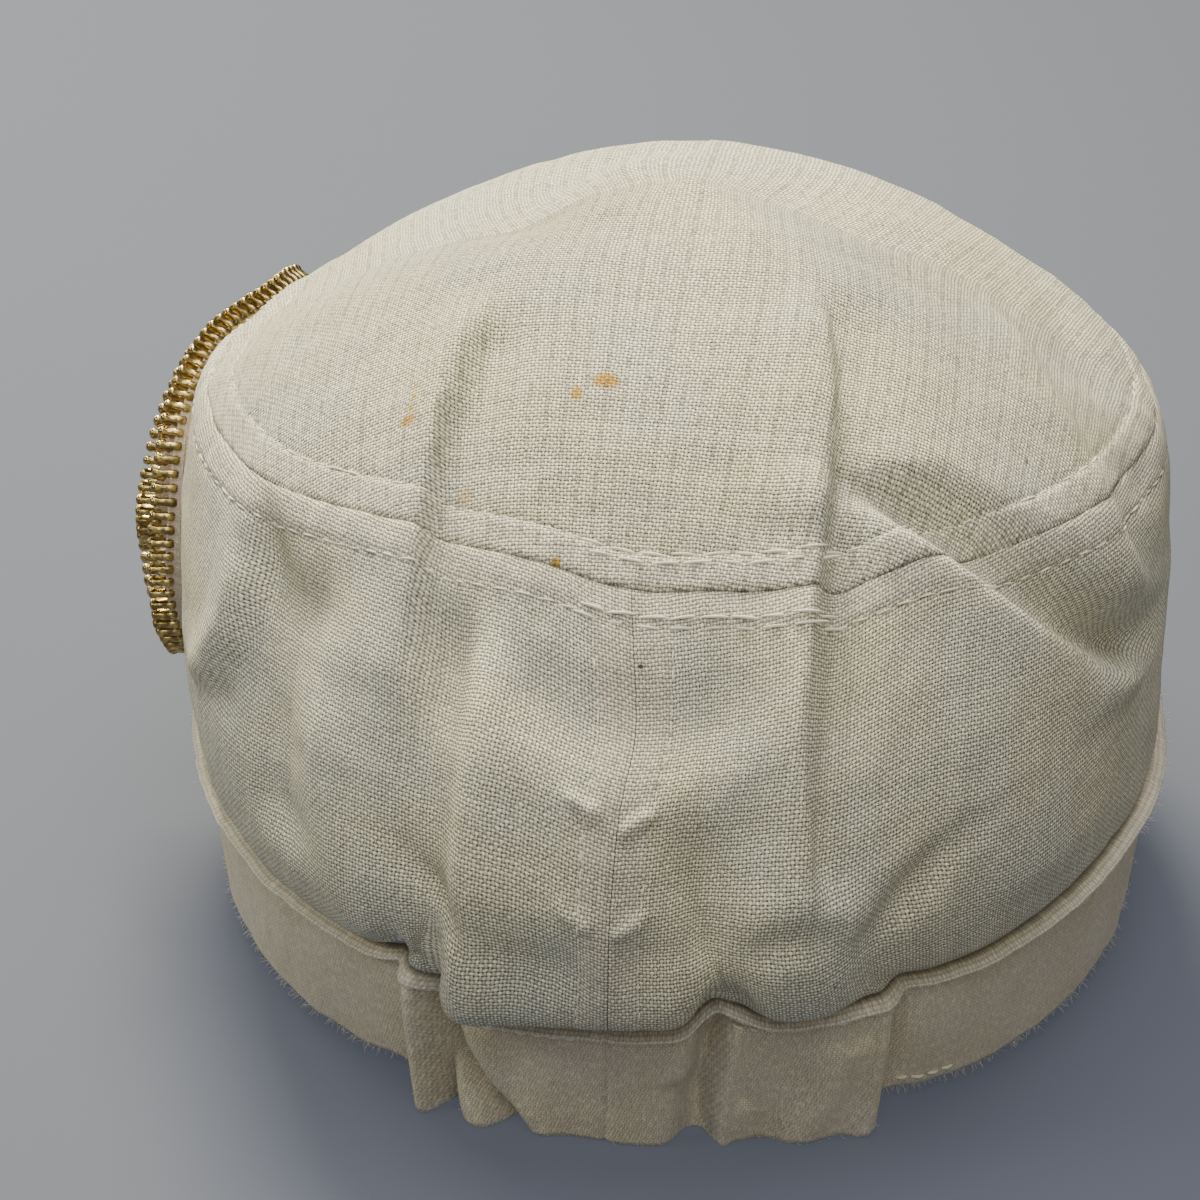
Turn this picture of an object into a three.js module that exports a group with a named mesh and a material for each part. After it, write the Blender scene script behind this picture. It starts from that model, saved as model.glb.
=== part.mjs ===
// Cadet cap in open-weave linen: crown top, two side panels, a headband gathered at the
// back, a stiff peak, and zipper loops standing on the wearer's left side.
// Millimetres, +Z up. The peak points to -Y, the wearer's left is +X, and z = 0 is the
// surface that the back of the hem and the tip of the peak rest on.
// phi is the angle round the cap in degrees: 0 at the centre back, growing towards -X.
import * as THREE from 'three';

// Driving dimensions
const CLOTH_WALL = 1.6;
const BAND_WALL = 2.2;
const SEAM_GAP = 0.36;
const SEAM_SINK = 0.7;
const SEAM_SINK_WIDTH = 1.6;
const SEAM_ALLOWANCE = 6.3;
const ALLOWANCE_RISE = 0.35;
const CENTRE_SEAM_RADIUS = 95;
const SIDE_HEIGHT = 69;

// The headband's rolled bead, its rounded edges, and its hem, which rises from the sides to
// the front. Places on the band are fractions of its height.
const BEAD = { at: 0.955, spread: 0.035, rise: 1.0 };
const EDGE = { round: 0.5, share: 0.04 };
const HEM = { halfWidth: 81, back: 84.5, front: 96, frontRise: 8.5, riseFrom: 95, riseTo: 150 };

// How the gathers and folds of the crown die away, and how its seam line sways up and down.
const GATHER_FADE = 0.32;
const SAG_RISE = 2;
const SAG_SPREAD = 0.45;
const SAG_ANGLE = 67.5;
const FOLD_START = 0.12;
const FOLD_END = 0.07;
const APEX_ROW = 1.96;
const NORMAL_STEP = { phi: 0.5, v: 0.01 };

// The peak's edge touches the surface within flatAngle of the front and rises beyond it. Its
// outline narrows towards the ends by the power taper, and spread turns its sides forwards.
const PEAK = {
  halfAngle: 58,
  length: 46,
  endLength: 2.5,
  taper: 0.8,
  spread: 0.75,
  thickness: 2.8,
  flatAngle: 24,
  edgeRise: 150,
  droop: 0.3,
  steps: 30,
};

const TOOTH = { pitch: 2.4, height: 4.6, thickness: 3.0, rootHeight: 3.4, rootThickness: 1.5 };
const TAPE_WALL = 1.0;
const TAPE_STEP = 4;
const LOOP_SAMPLES = 400;

const LINEN = { color: 0xe6dfcb, roughness: 0.95, metalness: 0 };
const TWILL = { color: 0xd9ccb0, roughness: 0.85, metalness: 0 };
const TAPE_CLOTH = { color: 0xd2b08c, roughness: 0.9, metalness: 0 };
const BRASS = { color: 0xb08d3e, roughness: 0.35, metalness: 1 };

// Cross sections of the crown. v runs 0 to 1 from the band seam to the crown seam, then 1 to 2
// over the top panel to its middle.
const SECTIONS = [
  { v: 0.0, width: 83.5, back: 91.5, front: 97, zBack: 29, zSide: 34, zFront: 41.5, sway: 0.4 },
  { v: 0.1, width: 83.9, back: 98.8, front: 98.5, zBack: 34.5, zSide: 38, zFront: 46, sway: 0.6 },
  { v: 0.25, width: 84.2, back: 105, front: 99, zBack: 44.5, zSide: 49.5, zFront: 52.5, sway: 1.2 },
  { v: 0.6, width: 84.3, back: 96.5, front: 95.5, zBack: 71.5, zSide: 71.5, zFront: 69, sway: 2 },
  { v: 1.0, width: 80, back: 70.5, front: 82, zBack: 96.3, zSide: 95, zFront: 87, sway: 2.2 },
  { v: 1.35, width: 62, back: 45.5, front: 66, zBack: 112.5, zSide: 110.5, zFront: 107, sway: 2.2 },
  { v: 1.7, width: 33, back: 13, front: 41, zBack: 123, zSide: 123.8, zFront: 122.5, sway: 2.2 },
  { v: 2.0, width: 0, back: -15, front: 15, zBack: 126.8, zSide: 126.8, zFront: 126.8, sway: 2.2 },
];

// Gathers of the headband's elastic back. out and foot push the band outwards at its top and
// its hem, rise moves the band seam up, and hem is the height of the hem.
const GATHERS = [
  { phi: -60, out: 0, foot: 0, rise: 0, hem: 4 },
  { phi: -34, out: 0, foot: 0, rise: 0.8, hem: 4 },
  { phi: -26, out: 0, foot: -0.5, rise: 2.2, hem: 4 },
  { phi: -25, out: -1, foot: -0.8, rise: 2.4, hem: 3 },
  { phi: -23.5, out: 2.4, foot: 2, rise: 2.2, hem: 0 },
  { phi: -22, out: 3, foot: 3, rise: 1.6, hem: 0 },
  { phi: -21, out: 1.6, foot: 1.6, rise: 0.4, hem: 0 },
  { phi: -20, out: -1.4, foot: -1, rise: -1.2, hem: 0 },
  { phi: -18, out: 0, foot: 1.5, rise: -3, hem: 0 },
  { phi: -15.5, out: 0.8, foot: 3, rise: -3, hem: 0 },
  { phi: -13, out: 0, foot: 0.5, rise: -2.8, hem: 0 },
  { phi: -12, out: -1, foot: -1.2, rise: -2.6, hem: 0 },
  { phi: -10, out: 0.6, foot: 1.6, rise: -2.4, hem: 0 },
  { phi: -4, out: 1, foot: 1.6, rise: -1.6, hem: 0 },
  { phi: 4, out: 1, foot: 1.6, rise: -1, hem: 0 },
  { phi: 8, out: 0.6, foot: 0.8, rise: 0, hem: 0 },
  { phi: 9.6, out: -1, foot: -1.8, rise: 1.6, hem: 0 },
  { phi: 11, out: -0.8, foot: -1.2, rise: 3.2, hem: 0 },
  { phi: 12, out: 0.8, foot: 0.6, rise: 3.6, hem: 0 },
  { phi: 13.5, out: 0.4, foot: 0, rise: 2.6, hem: 0 },
  { phi: 16, out: 1.2, foot: 1.6, rise: 0.8, hem: 0 },
  { phi: 22, out: 2, foot: 2.5, rise: 0.2, hem: 0 },
  { phi: 27, out: 2.2, foot: 2.5, rise: 0.8, hem: 0 },
  { phi: 29.5, out: 2.4, foot: 2.4, rise: 1, hem: 0 },
  { phi: 30.8, out: 0.6, foot: 0.4, rise: 1, hem: 1.6 },
  { phi: 32, out: -0.6, foot: -0.6, rise: 0.8, hem: 3.8 },
  { phi: 36, out: 0, foot: 0, rise: 0.4, hem: 4 },
  { phi: 60, out: 0, foot: 0, rise: 0, hem: 4 },
];

// Creases and folds of the crown: each runs through three points (v, phi). A crease stands
// proud on its lower-phi side and sinks beyond it. A fold is a ridge where its depth is
// positive and a valley where it is negative.
const CREASES = [
  { name: 'pressed crease', v: [0.45, 1.04, 1.55], phi: [22.5, 22, 33.5], width: 8, depth: 1.2 },
  { name: 'left crease', v: [0.7, 1.05, 1.5], phi: [-22, -26, -44], width: 9, depth: 1.6 },
];
const FOLDS = [
  { name: 'left valley', v: [0.1, 0.6, 0.86], phi: [-20, -16.7, -20.5], width: 5.5, depth: -3 },
  { name: 'panel edge', v: [0.08, 0.5, 0.88], phi: [-15.5, -12.8, -12.5], width: 4.5, depth: 1.8 },
  { name: 'right notch', v: [0.04, 0.28, 0.56], phi: [12.5, 13, 8.5], width: 4.5, depth: -2.6 },
  { name: 'right lobe', v: [0.03, 0.2, 0.4], phi: [21, 21.5, 23], width: 8, depth: 1.8 },
  { name: 'lobe end', v: [0.04, 0.27, 0.44], phi: [30, 30, 36.5], width: 4, depth: -2.2 },
  { name: 'shoulder valley', v: [0.58, 0.92, 1.18], phi: [67, 40, 26], width: 6.5, depth: -3 },
  { name: 'shoulder swell', v: [0.72, 1.04, 1.26], phi: [70, 44, 30], width: 7, depth: 1.4 },
  { name: 'shoulder ridge', v: [0.95, 1.15, 1.5], phi: [65, 67.5, 92], width: 6, depth: 2 },
  { name: 'shoulder dent', v: [0.95, 1.12, 1.35], phi: [76, 79, 92], width: 6, depth: -1.6 },
  { name: 'left ridge', v: [0.44, 0.61, 0.9], phi: [-58, -52, -50], width: 6, depth: 2.2 },
  { name: 'left hollow', v: [0.3, 0.54, 0.76], phi: [-43, -46, -44], width: 8, depth: -2.2 },
  { name: 'left tuck', v: [0.34, 0.4, 0.46], phi: [-16.5, -20.5, -26], width: 3.5, depth: -1.5 },
  { name: 'seam hollow', v: [0.8, 0.86, 0.92], phi: [-2, -10, -18], width: 6, depth: -1.6 },
];

// Stretches of the stations round the cap, finest where the band is gathered.
const ROUND = [
  { to: -70, steps: 11 },
  { to: -40, steps: 8 },
  { to: -26, steps: 5 },
  { to: -9, steps: 17 },
  { to: 8, steps: 6 },
  { to: 15, steps: 7 },
  { to: 28, steps: 5 },
  { to: 33, steps: 5 },
  { to: 40, steps: 3 },
  { to: 70, steps: 8 },
  { to: 180, steps: 11 },
];
const SIDE_ROWS = [0, 0.07, 0.15, 0.25, 0.36, 0.48, 0.6, 0.72, 0.83, 0.92, 1];
const TOP_ROWS = [1, 1.08, 1.19, 1.32, 1.47, 1.64, 1.82, 2];
const BAND_ROWS = [0, EDGE.share, 0.35, 0.68, 0.88, BEAD.at, 1];
const PEAK_ROWS = [0, 0.35, 0.7, 1];

// Zipper loops: stations of the teeth's tips on the crown, and how far the tips stand off it.
const OUTER_LOOP = [
  { phi: -88, v: 0.13, stand: 10 },
  { phi: -82, v: 0.28, stand: 8.2 },
  { phi: -80, v: 0.54, stand: 6.8 },
  { phi: -84, v: 0.8, stand: 5.8 },
  { phi: -95, v: 0.97, stand: 5.2 },
  { phi: -110, v: 1, stand: 5.2 },
  { phi: -117, v: 0.9, stand: 6.5 },
  { phi: -111, v: 0.62, stand: 13.5 },
  { phi: -99, v: 0.3, stand: 16 },
];
const INNER_LOOP = [
  { phi: -91, v: 0.36, stand: 11.5 },
  { phi: -87.5, v: 0.5, stand: 10 },
  { phi: -88.5, v: 0.68, stand: 8.5 },
  { phi: -97, v: 0.84, stand: 6.5 },
  { phi: -103, v: 0.78, stand: 8 },
  { phi: -101, v: 0.6, stand: 11 },
  { phi: -96, v: 0.44, stand: 12.5 },
];

const RADIAN = Math.PI / 180;

function smooth(from, to, x) {
  const t = Math.min(Math.max((x - from) / (to - from), 0), 1);
  return t * t * (3 - 2 * t);
}

// Value of one column at position x, by a cubic through the rows.
function column(rows, at, key, x) {
  const last = rows.length - 1;
  const slope = (i) => (rows[i + 1][key] - rows[i][key]) / (rows[i + 1][at] - rows[i][at]);
  const tangent = (i) => {
    if (i === 0) return slope(0);
    if (i === last) return slope(last - 1);
    const before = rows[i][at] - rows[i - 1][at];
    const after = rows[i + 1][at] - rows[i][at];
    return (slope(i - 1) * after + slope(i) * before) / (before + after);
  };
  const place = Math.min(Math.max(x, rows[0][at]), rows[last][at]);
  let i = 0;
  while (i < last - 1 && place > rows[i + 1][at]) i += 1;
  const span = rows[i + 1][at] - rows[i][at];
  const t = (place - rows[i][at]) / span;
  const start = rows[i][key] * (1 + 2 * t) * (1 - t) ** 2 + span * tangent(i) * t * (1 - t) ** 2;
  const end = rows[i + 1][key] * t * t * (3 - 2 * t) - span * tangent(i + 1) * t * t * (1 - t);
  return start + end;
}

// Angle round the cap between -180 and 180.
function wrap(phi) {
  return phi - 360 * Math.round(phi / 360);
}

function gather(phi, key) {
  return column(GATHERS, 'phi', key, wrap(phi));
}

function outwards(phi) {
  return new THREE.Vector3(-Math.sin(phi * RADIAN), Math.cos(phi * RADIAN), 0);
}

// The crown without folds.
function crownBase(phi, v) {
  const c = Math.cos(phi * RADIAN);
  const s = Math.sin(phi * RADIAN);
  const at = (key) => column(SECTIONS, 'v', key, v);
  const angle = Math.abs(wrap(phi));
  const sagging = angle < SAG_ANGLE ? -Math.cos(4 * phi * RADIAN) * Math.cos((4 / 3) * phi * RADIAN) : 0;
  const sag = SAG_RISE * Math.exp(-(((v - 1) / SAG_SPREAD) ** 2)) * sagging;
  const x = -at('width') * s + at('sway');
  const y = at(c > 0 ? 'back' : 'front') * c;
  const z = at('zSide') * s * s + at(c > 0 ? 'zBack' : 'zFront') * c * c + sag;
  const fade = (1 - smooth(0, GATHER_FADE, v));
  const point = new THREE.Vector3(x, y, z + gather(phi, 'rise') * fade);
  return point.addScaledVector(outwards(phi), gather(phi, 'out') * fade);
}

function crownNormal(phi, v) {
  if (v === 2) return new THREE.Vector3(0, 0, 1);
  const middle = Math.min(v, APEX_ROW);
  const round = crownBase(phi + NORMAL_STEP.phi, middle).sub(crownBase(phi - NORMAL_STEP.phi, middle));
  const up = crownBase(phi, middle + NORMAL_STEP.v).sub(crownBase(phi, middle - NORMAL_STEP.v));
  return round.cross(up).normalize();
}

// Height of one fold or crease at a place on the crown.
function foldHeight(fold, crease, phi, v) {
  const [v0, v1, v2] = fold.v;
  if (v < v0 - FOLD_END || v > v2 + FOLD_END) return 0;
  const path = (x) => {
    const a = (fold.phi[0] * (x - v1) * (x - v2)) / ((v0 - v1) * (v0 - v2));
    const b = (fold.phi[1] * (x - v0) * (x - v2)) / ((v1 - v0) * (v1 - v2));
    const c = (fold.phi[2] * (x - v0) * (x - v1)) / ((v2 - v0) * (v2 - v1));
    return a + b + c;
  };
  const radius = column(SECTIONS, 'v', 'width', v) * RADIAN;
  const step = NORMAL_STEP.v;
  const slant = ((path(v + step) - path(v - step)) * radius) / (2 * step * SIDE_HEIGHT);
  const across = ((wrap(phi) - path(v)) * radius) / Math.hypot(1, slant);
  const start = smooth(v0 - FOLD_END, v0 + FOLD_END, v);
  const end = 1 - smooth(v2 - FOLD_END, v2 + FOLD_END, v);
  const bell = Math.exp(-((across / fold.width) ** 2));
  const shape = crease ? -Math.tanh((3 * across) / fold.width) * bell : bell;
  return fold.depth * shape * start * end;
}

// Rise and sink of a topstitched seam at a distance from it.
function seamHeight(distance) {
  const raised = ALLOWANCE_RISE * (1 - smooth(SEAM_ALLOWANCE - 1, SEAM_ALLOWANCE + 1, Math.abs(distance)));
  return raised - SEAM_SINK * Math.exp(-((distance / SEAM_SINK_WIDTH) ** 2));
}

function crownPoint(phi, v, lift) {
  const folds = FOLDS.reduce((sum, fold) => sum + foldHeight(fold, false, phi, v), 0);
  const creases = CREASES.reduce((sum, crease) => sum + foldHeight(crease, true, phi, v), 0);
  const centreSeam = v < 1 ? seamHeight(wrap(phi) * RADIAN * CENTRE_SEAM_RADIUS) : 0;
  const fromBand = smooth(0, FOLD_START, v);
  const height = (folds + creases + centreSeam) * fromBand + seamHeight((v - 1) * SIDE_HEIGHT);
  return crownBase(phi, v).addScaledVector(crownNormal(phi, v), height + lift);
}

// Height of the hem above the surface that the cap rests on.
function hemHeight(phi) {
  const rising = smooth(HEM.riseFrom, HEM.riseTo, Math.abs(wrap(phi)));
  return Math.max(gather(phi, 'hem'), 0) + HEM.frontRise * rising;
}

// How far the rolled bead stands out.
function beadHeight(u) {
  return BEAD.rise * Math.exp(-(((u - BEAD.at) / BEAD.spread) ** 2));
}

// How far the band's two edges are rounded back.
function edgeRound(u) {
  return EDGE.round * (1 - smooth(0, EDGE.share, u) + smooth(1 - EDGE.share, 1, u));
}

// Outer face of the headband. u runs 0 to 1 from the hem to the band seam.
function bandPoint(phi, u, lift) {
  const c = Math.cos(phi * RADIAN);
  const x = -HEM.halfWidth * Math.sin(phi * RADIAN);
  const hem = new THREE.Vector3(x, (c > 0 ? HEM.back : HEM.front) * c, hemHeight(phi));
  hem.addScaledVector(outwards(phi), gather(phi, 'foot'));
  const seam = crownBase(phi, 0);
  seam.z -= SEAM_GAP;
  return hem.lerp(seam, u).addScaledVector(outwards(phi), lift);
}

// A closed wall between two faces given at the same stations.
function wall(us, vs, outer, inner, closed, apex) {
  const points = [];
  const add = (face, i, j) => {
    points.push(face(us[i], vs[j], i));
    return points.length - 1;
  };
  const last = vs.length - 1;
  const grid = (face) => {
    const tip = apex ? add(face, 0, last) : -1;
    return us.map((_, i) => vs.map((__, j) => (apex && j === last ? tip : add(face, i, j))));
  };
  const front = grid(outer);
  const rear = grid(inner);
  const triangles = [];
  const quad = (a, b, c, d) => {
    if (a !== b && b !== c) triangles.push(a, b, c);
    if (c !== d && d !== a) triangles.push(a, c, d);
  };
  const columns = closed ? us.length : us.length - 1;
  for (let i = 0; i < columns; i += 1) {
    const k = (i + 1) % us.length;
    for (let j = 0; j < last; j += 1) {
      quad(front[i][j], front[k][j], front[k][j + 1], front[i][j + 1]);
      quad(rear[i][j], rear[i][j + 1], rear[k][j + 1], rear[k][j]);
    }
    quad(front[i][0], rear[i][0], rear[k][0], front[k][0]);
    if (!apex) quad(front[i][last], front[k][last], rear[k][last], rear[i][last]);
  }
  if (!closed) {
    const end = us.length - 1;
    for (let j = 0; j < last; j += 1) {
      quad(front[0][j], front[0][j + 1], rear[0][j + 1], rear[0][j]);
      quad(front[end][j], rear[end][j], rear[end][j + 1], front[end][j + 1]);
    }
  }
  return solid(points, triangles);
}

// A geometry of points and triangles, its faces turned outwards.
function solid(points, triangles) {
  let volume = 0;
  const cross = new THREE.Vector3();
  for (let i = 0; i < triangles.length; i += 3) {
    cross.crossVectors(points[triangles[i + 1]], points[triangles[i + 2]]);
    volume += points[triangles[i]].dot(cross);
  }
  const indices = volume > 0 ? triangles : triangles.slice().reverse();
  const geometry = new THREE.BufferGeometry();
  geometry.setAttribute('position', new THREE.Float32BufferAttribute(points.flatMap((p) => p.toArray()), 3));
  geometry.setIndex(indices);
  geometry.computeVertexNormals();
  return geometry;
}

// Stations round the cap from -180 to 180, both ends included.
function roundStations() {
  const stations = [-180];
  for (const stretch of ROUND) {
    const from = stations[stations.length - 1];
    for (let i = 1; i <= stretch.steps; i += 1) {
      stations.push(from + ((stretch.to - from) * i) / stretch.steps);
    }
  }
  return stations;
}

function crownTop() {
  const us = roundStations().slice(0, -1);
  const gap = SEAM_GAP / 2 / SIDE_HEIGHT;
  const vs = TOP_ROWS.map((v, j) => (j === 0 ? v + gap : v));
  const outer = (phi, v) => crownPoint(phi, v, 0);
  const inner = (phi, v) => crownPoint(phi, v, -CLOTH_WALL);
  return wall(us, vs, outer, inner, true, true);
}

// One side panel, from the centre-back seam to the centre-front seam.
function sidePanel(side) {
  const back = (side * SEAM_GAP) / 2 / RADIAN / HEM.back;
  const front = side * 180 - back;
  const half = roundStations().filter((phi) => phi * side > 1 && phi * side < 179);
  const us = side > 0 ? [back, ...half, front] : [front, ...half, back];
  const gap = SEAM_GAP / 2 / SIDE_HEIGHT;
  const vs = SIDE_ROWS.map((v) => (v === 1 ? v - gap : v));
  const outer = (phi, v) => crownPoint(phi, v, 0);
  const inner = (phi, v) => crownPoint(phi, v, -CLOTH_WALL);
  return wall(us, vs, outer, inner, false, false);
}

function headband() {
  const us = roundStations().slice(0, -1);
  const outer = (phi, u) => bandPoint(phi, u, beadHeight(u) - edgeRound(u));
  const inner = (phi, u) => bandPoint(phi, u, edgeRound(u) - BAND_WALL);
  return wall(us, BAND_ROWS, outer, inner, true, false);
}

// The peak, a stiffened crescent that meets the front of the headband's hem.
function peak() {
  const us = [];
  for (let i = 0; i <= PEAK.steps; i += 1) {
    us.push(180 + PEAK.halfAngle * ((2 * i) / PEAK.steps - 1));
  }
  const reach = (phi) => {
    const t = Math.abs(phi - 180) / PEAK.halfAngle;
    return PEAK.endLength + (PEAK.length - PEAK.endLength) * Math.max(1 - t * t, 0) ** PEAK.taper;
  };
  const face = (lift) => (phi, r) => {
    const root = bandPoint(phi, EDGE.share, SEAM_GAP);
    const rootZ = hemHeight(phi) + SEAM_GAP;
    const off = Math.max(Math.abs(phi - 180) - PEAK.flatAngle, 0);
    const tipZ = Math.min((off * off) / PEAK.edgeRise, rootZ);
    const forward = new THREE.Vector3(-Math.sin(phi * RADIAN) * PEAK.spread, Math.cos(phi * RADIAN), 0);
    root.addScaledVector(forward.normalize(), reach(phi) * r);
    root.z = rootZ + (tipZ - rootZ) * (r + PEAK.droop * (r * r - r)) + lift;
    return root;
  };
  return wall(us, PEAK_ROWS, face(0), face(PEAK.thickness), false, false);
}

// A closed curve through the stations of a zipper loop, as frames of point, side and normal.
function loopFrames(loop, steps) {
  const closed = [...loop, loop[0]];
  const place = (t) => {
    const n = loop.length;
    const i = Math.floor(t) % n;
    const f = t - Math.floor(t);
    const rows = [-1, 0, 1, 2].map((k) => closed[(i + k + n) % n]);
    const mix = (key) => {
      const [a, b, c, d] = rows.map((row) => row[key]);
      const linear = c - a;
      const square = 2 * a - 5 * b + 4 * c - d;
      const cube = 3 * b - a - 3 * c + d;
      return b + 0.5 * f * (linear + f * (square + f * cube));
    };
    return { phi: mix('phi'), v: mix('v'), stand: mix('stand') };
  };
  const tip = (t) => crownPoint(place(t).phi, place(t).v, place(t).stand);
  const perSample = loop.length / LOOP_SAMPLES;
  const lengths = [0];
  for (let i = 1; i <= LOOP_SAMPLES; i += 1) {
    const step = tip((i - 1) * perSample).distanceTo(tip(i * perSample));
    lengths.push(lengths[i - 1] + step);
  }
  const total = lengths[LOOP_SAMPLES];
  const count = steps(total);
  const frames = [];
  let k = 0;
  for (let i = 0; i < count; i += 1) {
    const wanted = (total * i) / count;
    while (lengths[k + 1] < wanted) k += 1;
    const t = (k + (wanted - lengths[k]) / (lengths[k + 1] - lengths[k])) * perSample;
    const { phi, v, stand } = place(t);
    const normal = crownNormal(phi, v);
    const ahead = tip(t + perSample).sub(tip(t + loop.length - perSample));
    const side = ahead.cross(normal).normalize();
    frames.push({ foot: crownPoint(phi, v, SEAM_GAP), normal, side, stand });
  }
  return frames;
}

// The tape stands on the crown and ends just under the teeth.
function zipTape(loop) {
  const frames = loopFrames(loop, (total) => Math.round(total / TAPE_STEP));
  const face = (half) => (_, v, i) => {
    const { foot, normal, side, stand } = frames[i];
    const top = stand - SEAM_GAP - TOOTH.height - SEAM_GAP;
    return foot.clone().addScaledVector(normal, v * top).addScaledVector(side, half);
  };
  return wall(frames, [0, 1], face(TAPE_WALL / 2), face(-TAPE_WALL / 2), true, false);
}

// The teeth of one loop, a row of bars joined by their roots.
function zipTeeth(loop) {
  const frames = loopFrames(loop, (total) => 2 * Math.round(total / TOOTH.pitch));
  const face = (sign) => (_, v, i) => {
    const { foot, normal, side, stand } = frames[i];
    const tooth = i % 2 === 0;
    const height = tooth ? TOOTH.height : TOOTH.rootHeight;
    const half = (tooth ? TOOTH.thickness : TOOTH.rootThickness) / 2;
    const level = stand - SEAM_GAP - TOOTH.height + v * height;
    return foot.clone().addScaledVector(normal, level).addScaledVector(side, sign * half);
  };
  return wall(frames, [0, 1], face(1), face(-1), true, false);
}

function piece(name, geometry, finish) {
  const mesh = new THREE.Mesh(geometry, new THREE.MeshStandardMaterial(finish));
  mesh.name = name;
  return mesh;
}

const cap = new THREE.Group();
cap.add(piece('crown_top', crownTop(), LINEN));
cap.add(piece('side_left', sidePanel(-1), LINEN));
cap.add(piece('side_right', sidePanel(1), LINEN));
cap.add(piece('headband', headband(), TWILL));
cap.add(piece('peak', peak(), TWILL));
cap.add(piece('zip_tape_outer', zipTape(OUTER_LOOP), TAPE_CLOTH));
cap.add(piece('zip_teeth_outer', zipTeeth(OUTER_LOOP), BRASS));
cap.add(piece('zip_tape_inner', zipTape(INNER_LOOP), TAPE_CLOTH));
cap.add(piece('zip_teeth_inner', zipTeeth(INNER_LOOP), BRASS));

// The origin is the middle of the whole cap, on the surface that it rests on.
const middle = new THREE.Box3().setFromObject(cap).getCenter(new THREE.Vector3());
cap.position.set(-middle.x, -middle.y, 0);
const group = new THREE.Group();
group.add(cap);

export default group;
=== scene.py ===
"""Cadet cap in open-weave linen, seen from behind: a domed top, two side panels, a twill
headband gathered at the back, a stiff peak, and zipper loops on the wearer's left side.

Lengths in the tables are millimetres in the cap's own coordinates: +Z up, -Y towards the peak,
+X the wearer's left. phi is the angle round the cap in degrees, 0 at the centre back and
growing towards -X. v runs 0 to 1 from the band seam to the crown seam and 1 to 2 over the top.
"""

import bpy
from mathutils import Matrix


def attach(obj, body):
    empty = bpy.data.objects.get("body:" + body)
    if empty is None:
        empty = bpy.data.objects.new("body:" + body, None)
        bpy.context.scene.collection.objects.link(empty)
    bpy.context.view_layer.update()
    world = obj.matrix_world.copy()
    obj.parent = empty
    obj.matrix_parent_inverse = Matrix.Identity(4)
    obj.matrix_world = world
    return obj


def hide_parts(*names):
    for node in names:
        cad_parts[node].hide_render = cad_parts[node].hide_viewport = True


bl_info = {
    "name": "Cadet Cap",
    "version": (1, 0, 0),
    "blender": (4, 5, 0),
    "location": "View3D > Sidebar > Cap",
    "description": "Builds a linen cadet cap with a gathered headband and zipper loops",
    "category": "Add Mesh",
}

import math

import bmesh
import bpy
import numpy as np
from bpy.props import FloatProperty, FloatVectorProperty, IntProperty, PointerProperty
from mathutils import Matrix, Vector

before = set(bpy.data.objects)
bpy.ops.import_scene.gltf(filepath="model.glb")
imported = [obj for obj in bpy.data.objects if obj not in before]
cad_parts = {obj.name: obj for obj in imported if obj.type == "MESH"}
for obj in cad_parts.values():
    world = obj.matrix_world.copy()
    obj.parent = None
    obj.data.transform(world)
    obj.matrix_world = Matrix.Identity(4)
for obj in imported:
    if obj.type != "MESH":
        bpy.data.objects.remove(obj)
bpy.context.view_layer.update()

MM = 0.001

# The cap's own axis in the frame, whose origin is the middle of the whole cap.
CAP_SHIFT = np.array((-8.315, 18.496, 0.0))

# Walls, seams and edges
CLOTH_WALL = 1.6
BAND_WALL = 2.2
SEAM_GAP = 0.08
ALLOWANCE_RISE = 0.25
ALLOWANCE_PUFF = 0.1
SEAM_SINK = 0.26
SEAM_SINK_WIDTH = 0.45
SEAM_LIP = {"rise": 0.06, "fall": 0.06, "width": 1.2}
BAND_TUCK = {"depth": 2.2, "width": 2.0}
STITCH_SINK = 0.45
STITCH_SINK_WIDTH = 0.55
CENTRE_SEAM_RADIUS = 95.0
SIDE_HEIGHT = 69.0
TOP_REACH = 85.0
GRAIN_SLOPE = 0.12
BEAD = {"at": 0.96, "spread": 0.034, "rise": 2.4}
EDGE = {"round": 0.5, "share": 0.04}
HEM = {"half_width": 81.0, "back": 84.5, "front": 96.0, "front_rise": 8.5, "from": 95.0, "to": 150.0}
BAND_HEIGHT = 30.0
BAND_SEAM = {"depth": 0.8, "width": 0.35}
BAND_STITCH = {"depth": 0.8, "below": 3.3, "width": 0.9}
PEAK = {
    "half_angle": 58.0, "length": 46.0, "end_length": 2.5, "taper": 0.8, "spread": 0.75,
    "thickness": 2.8, "flat_angle": 24.0, "edge_rise": 150.0, "droop": 0.3, "gap": 0.36,
}

# How gathers and folds die away, and how the crown seam sways.
GATHER_FADE = 0.32
SAG_RISE = 2.0
SAG_SPREAD = 0.45
SAG_ANGLE = 67.5
FOLD_START = 0.12
FOLD_END = 0.07
APEX_ROW = 1.96
CLOSING_ROW = 1.7
STEP = {"phi": 0.5, "v": 0.01}
MERGE_DISTANCE = 0.002

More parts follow.
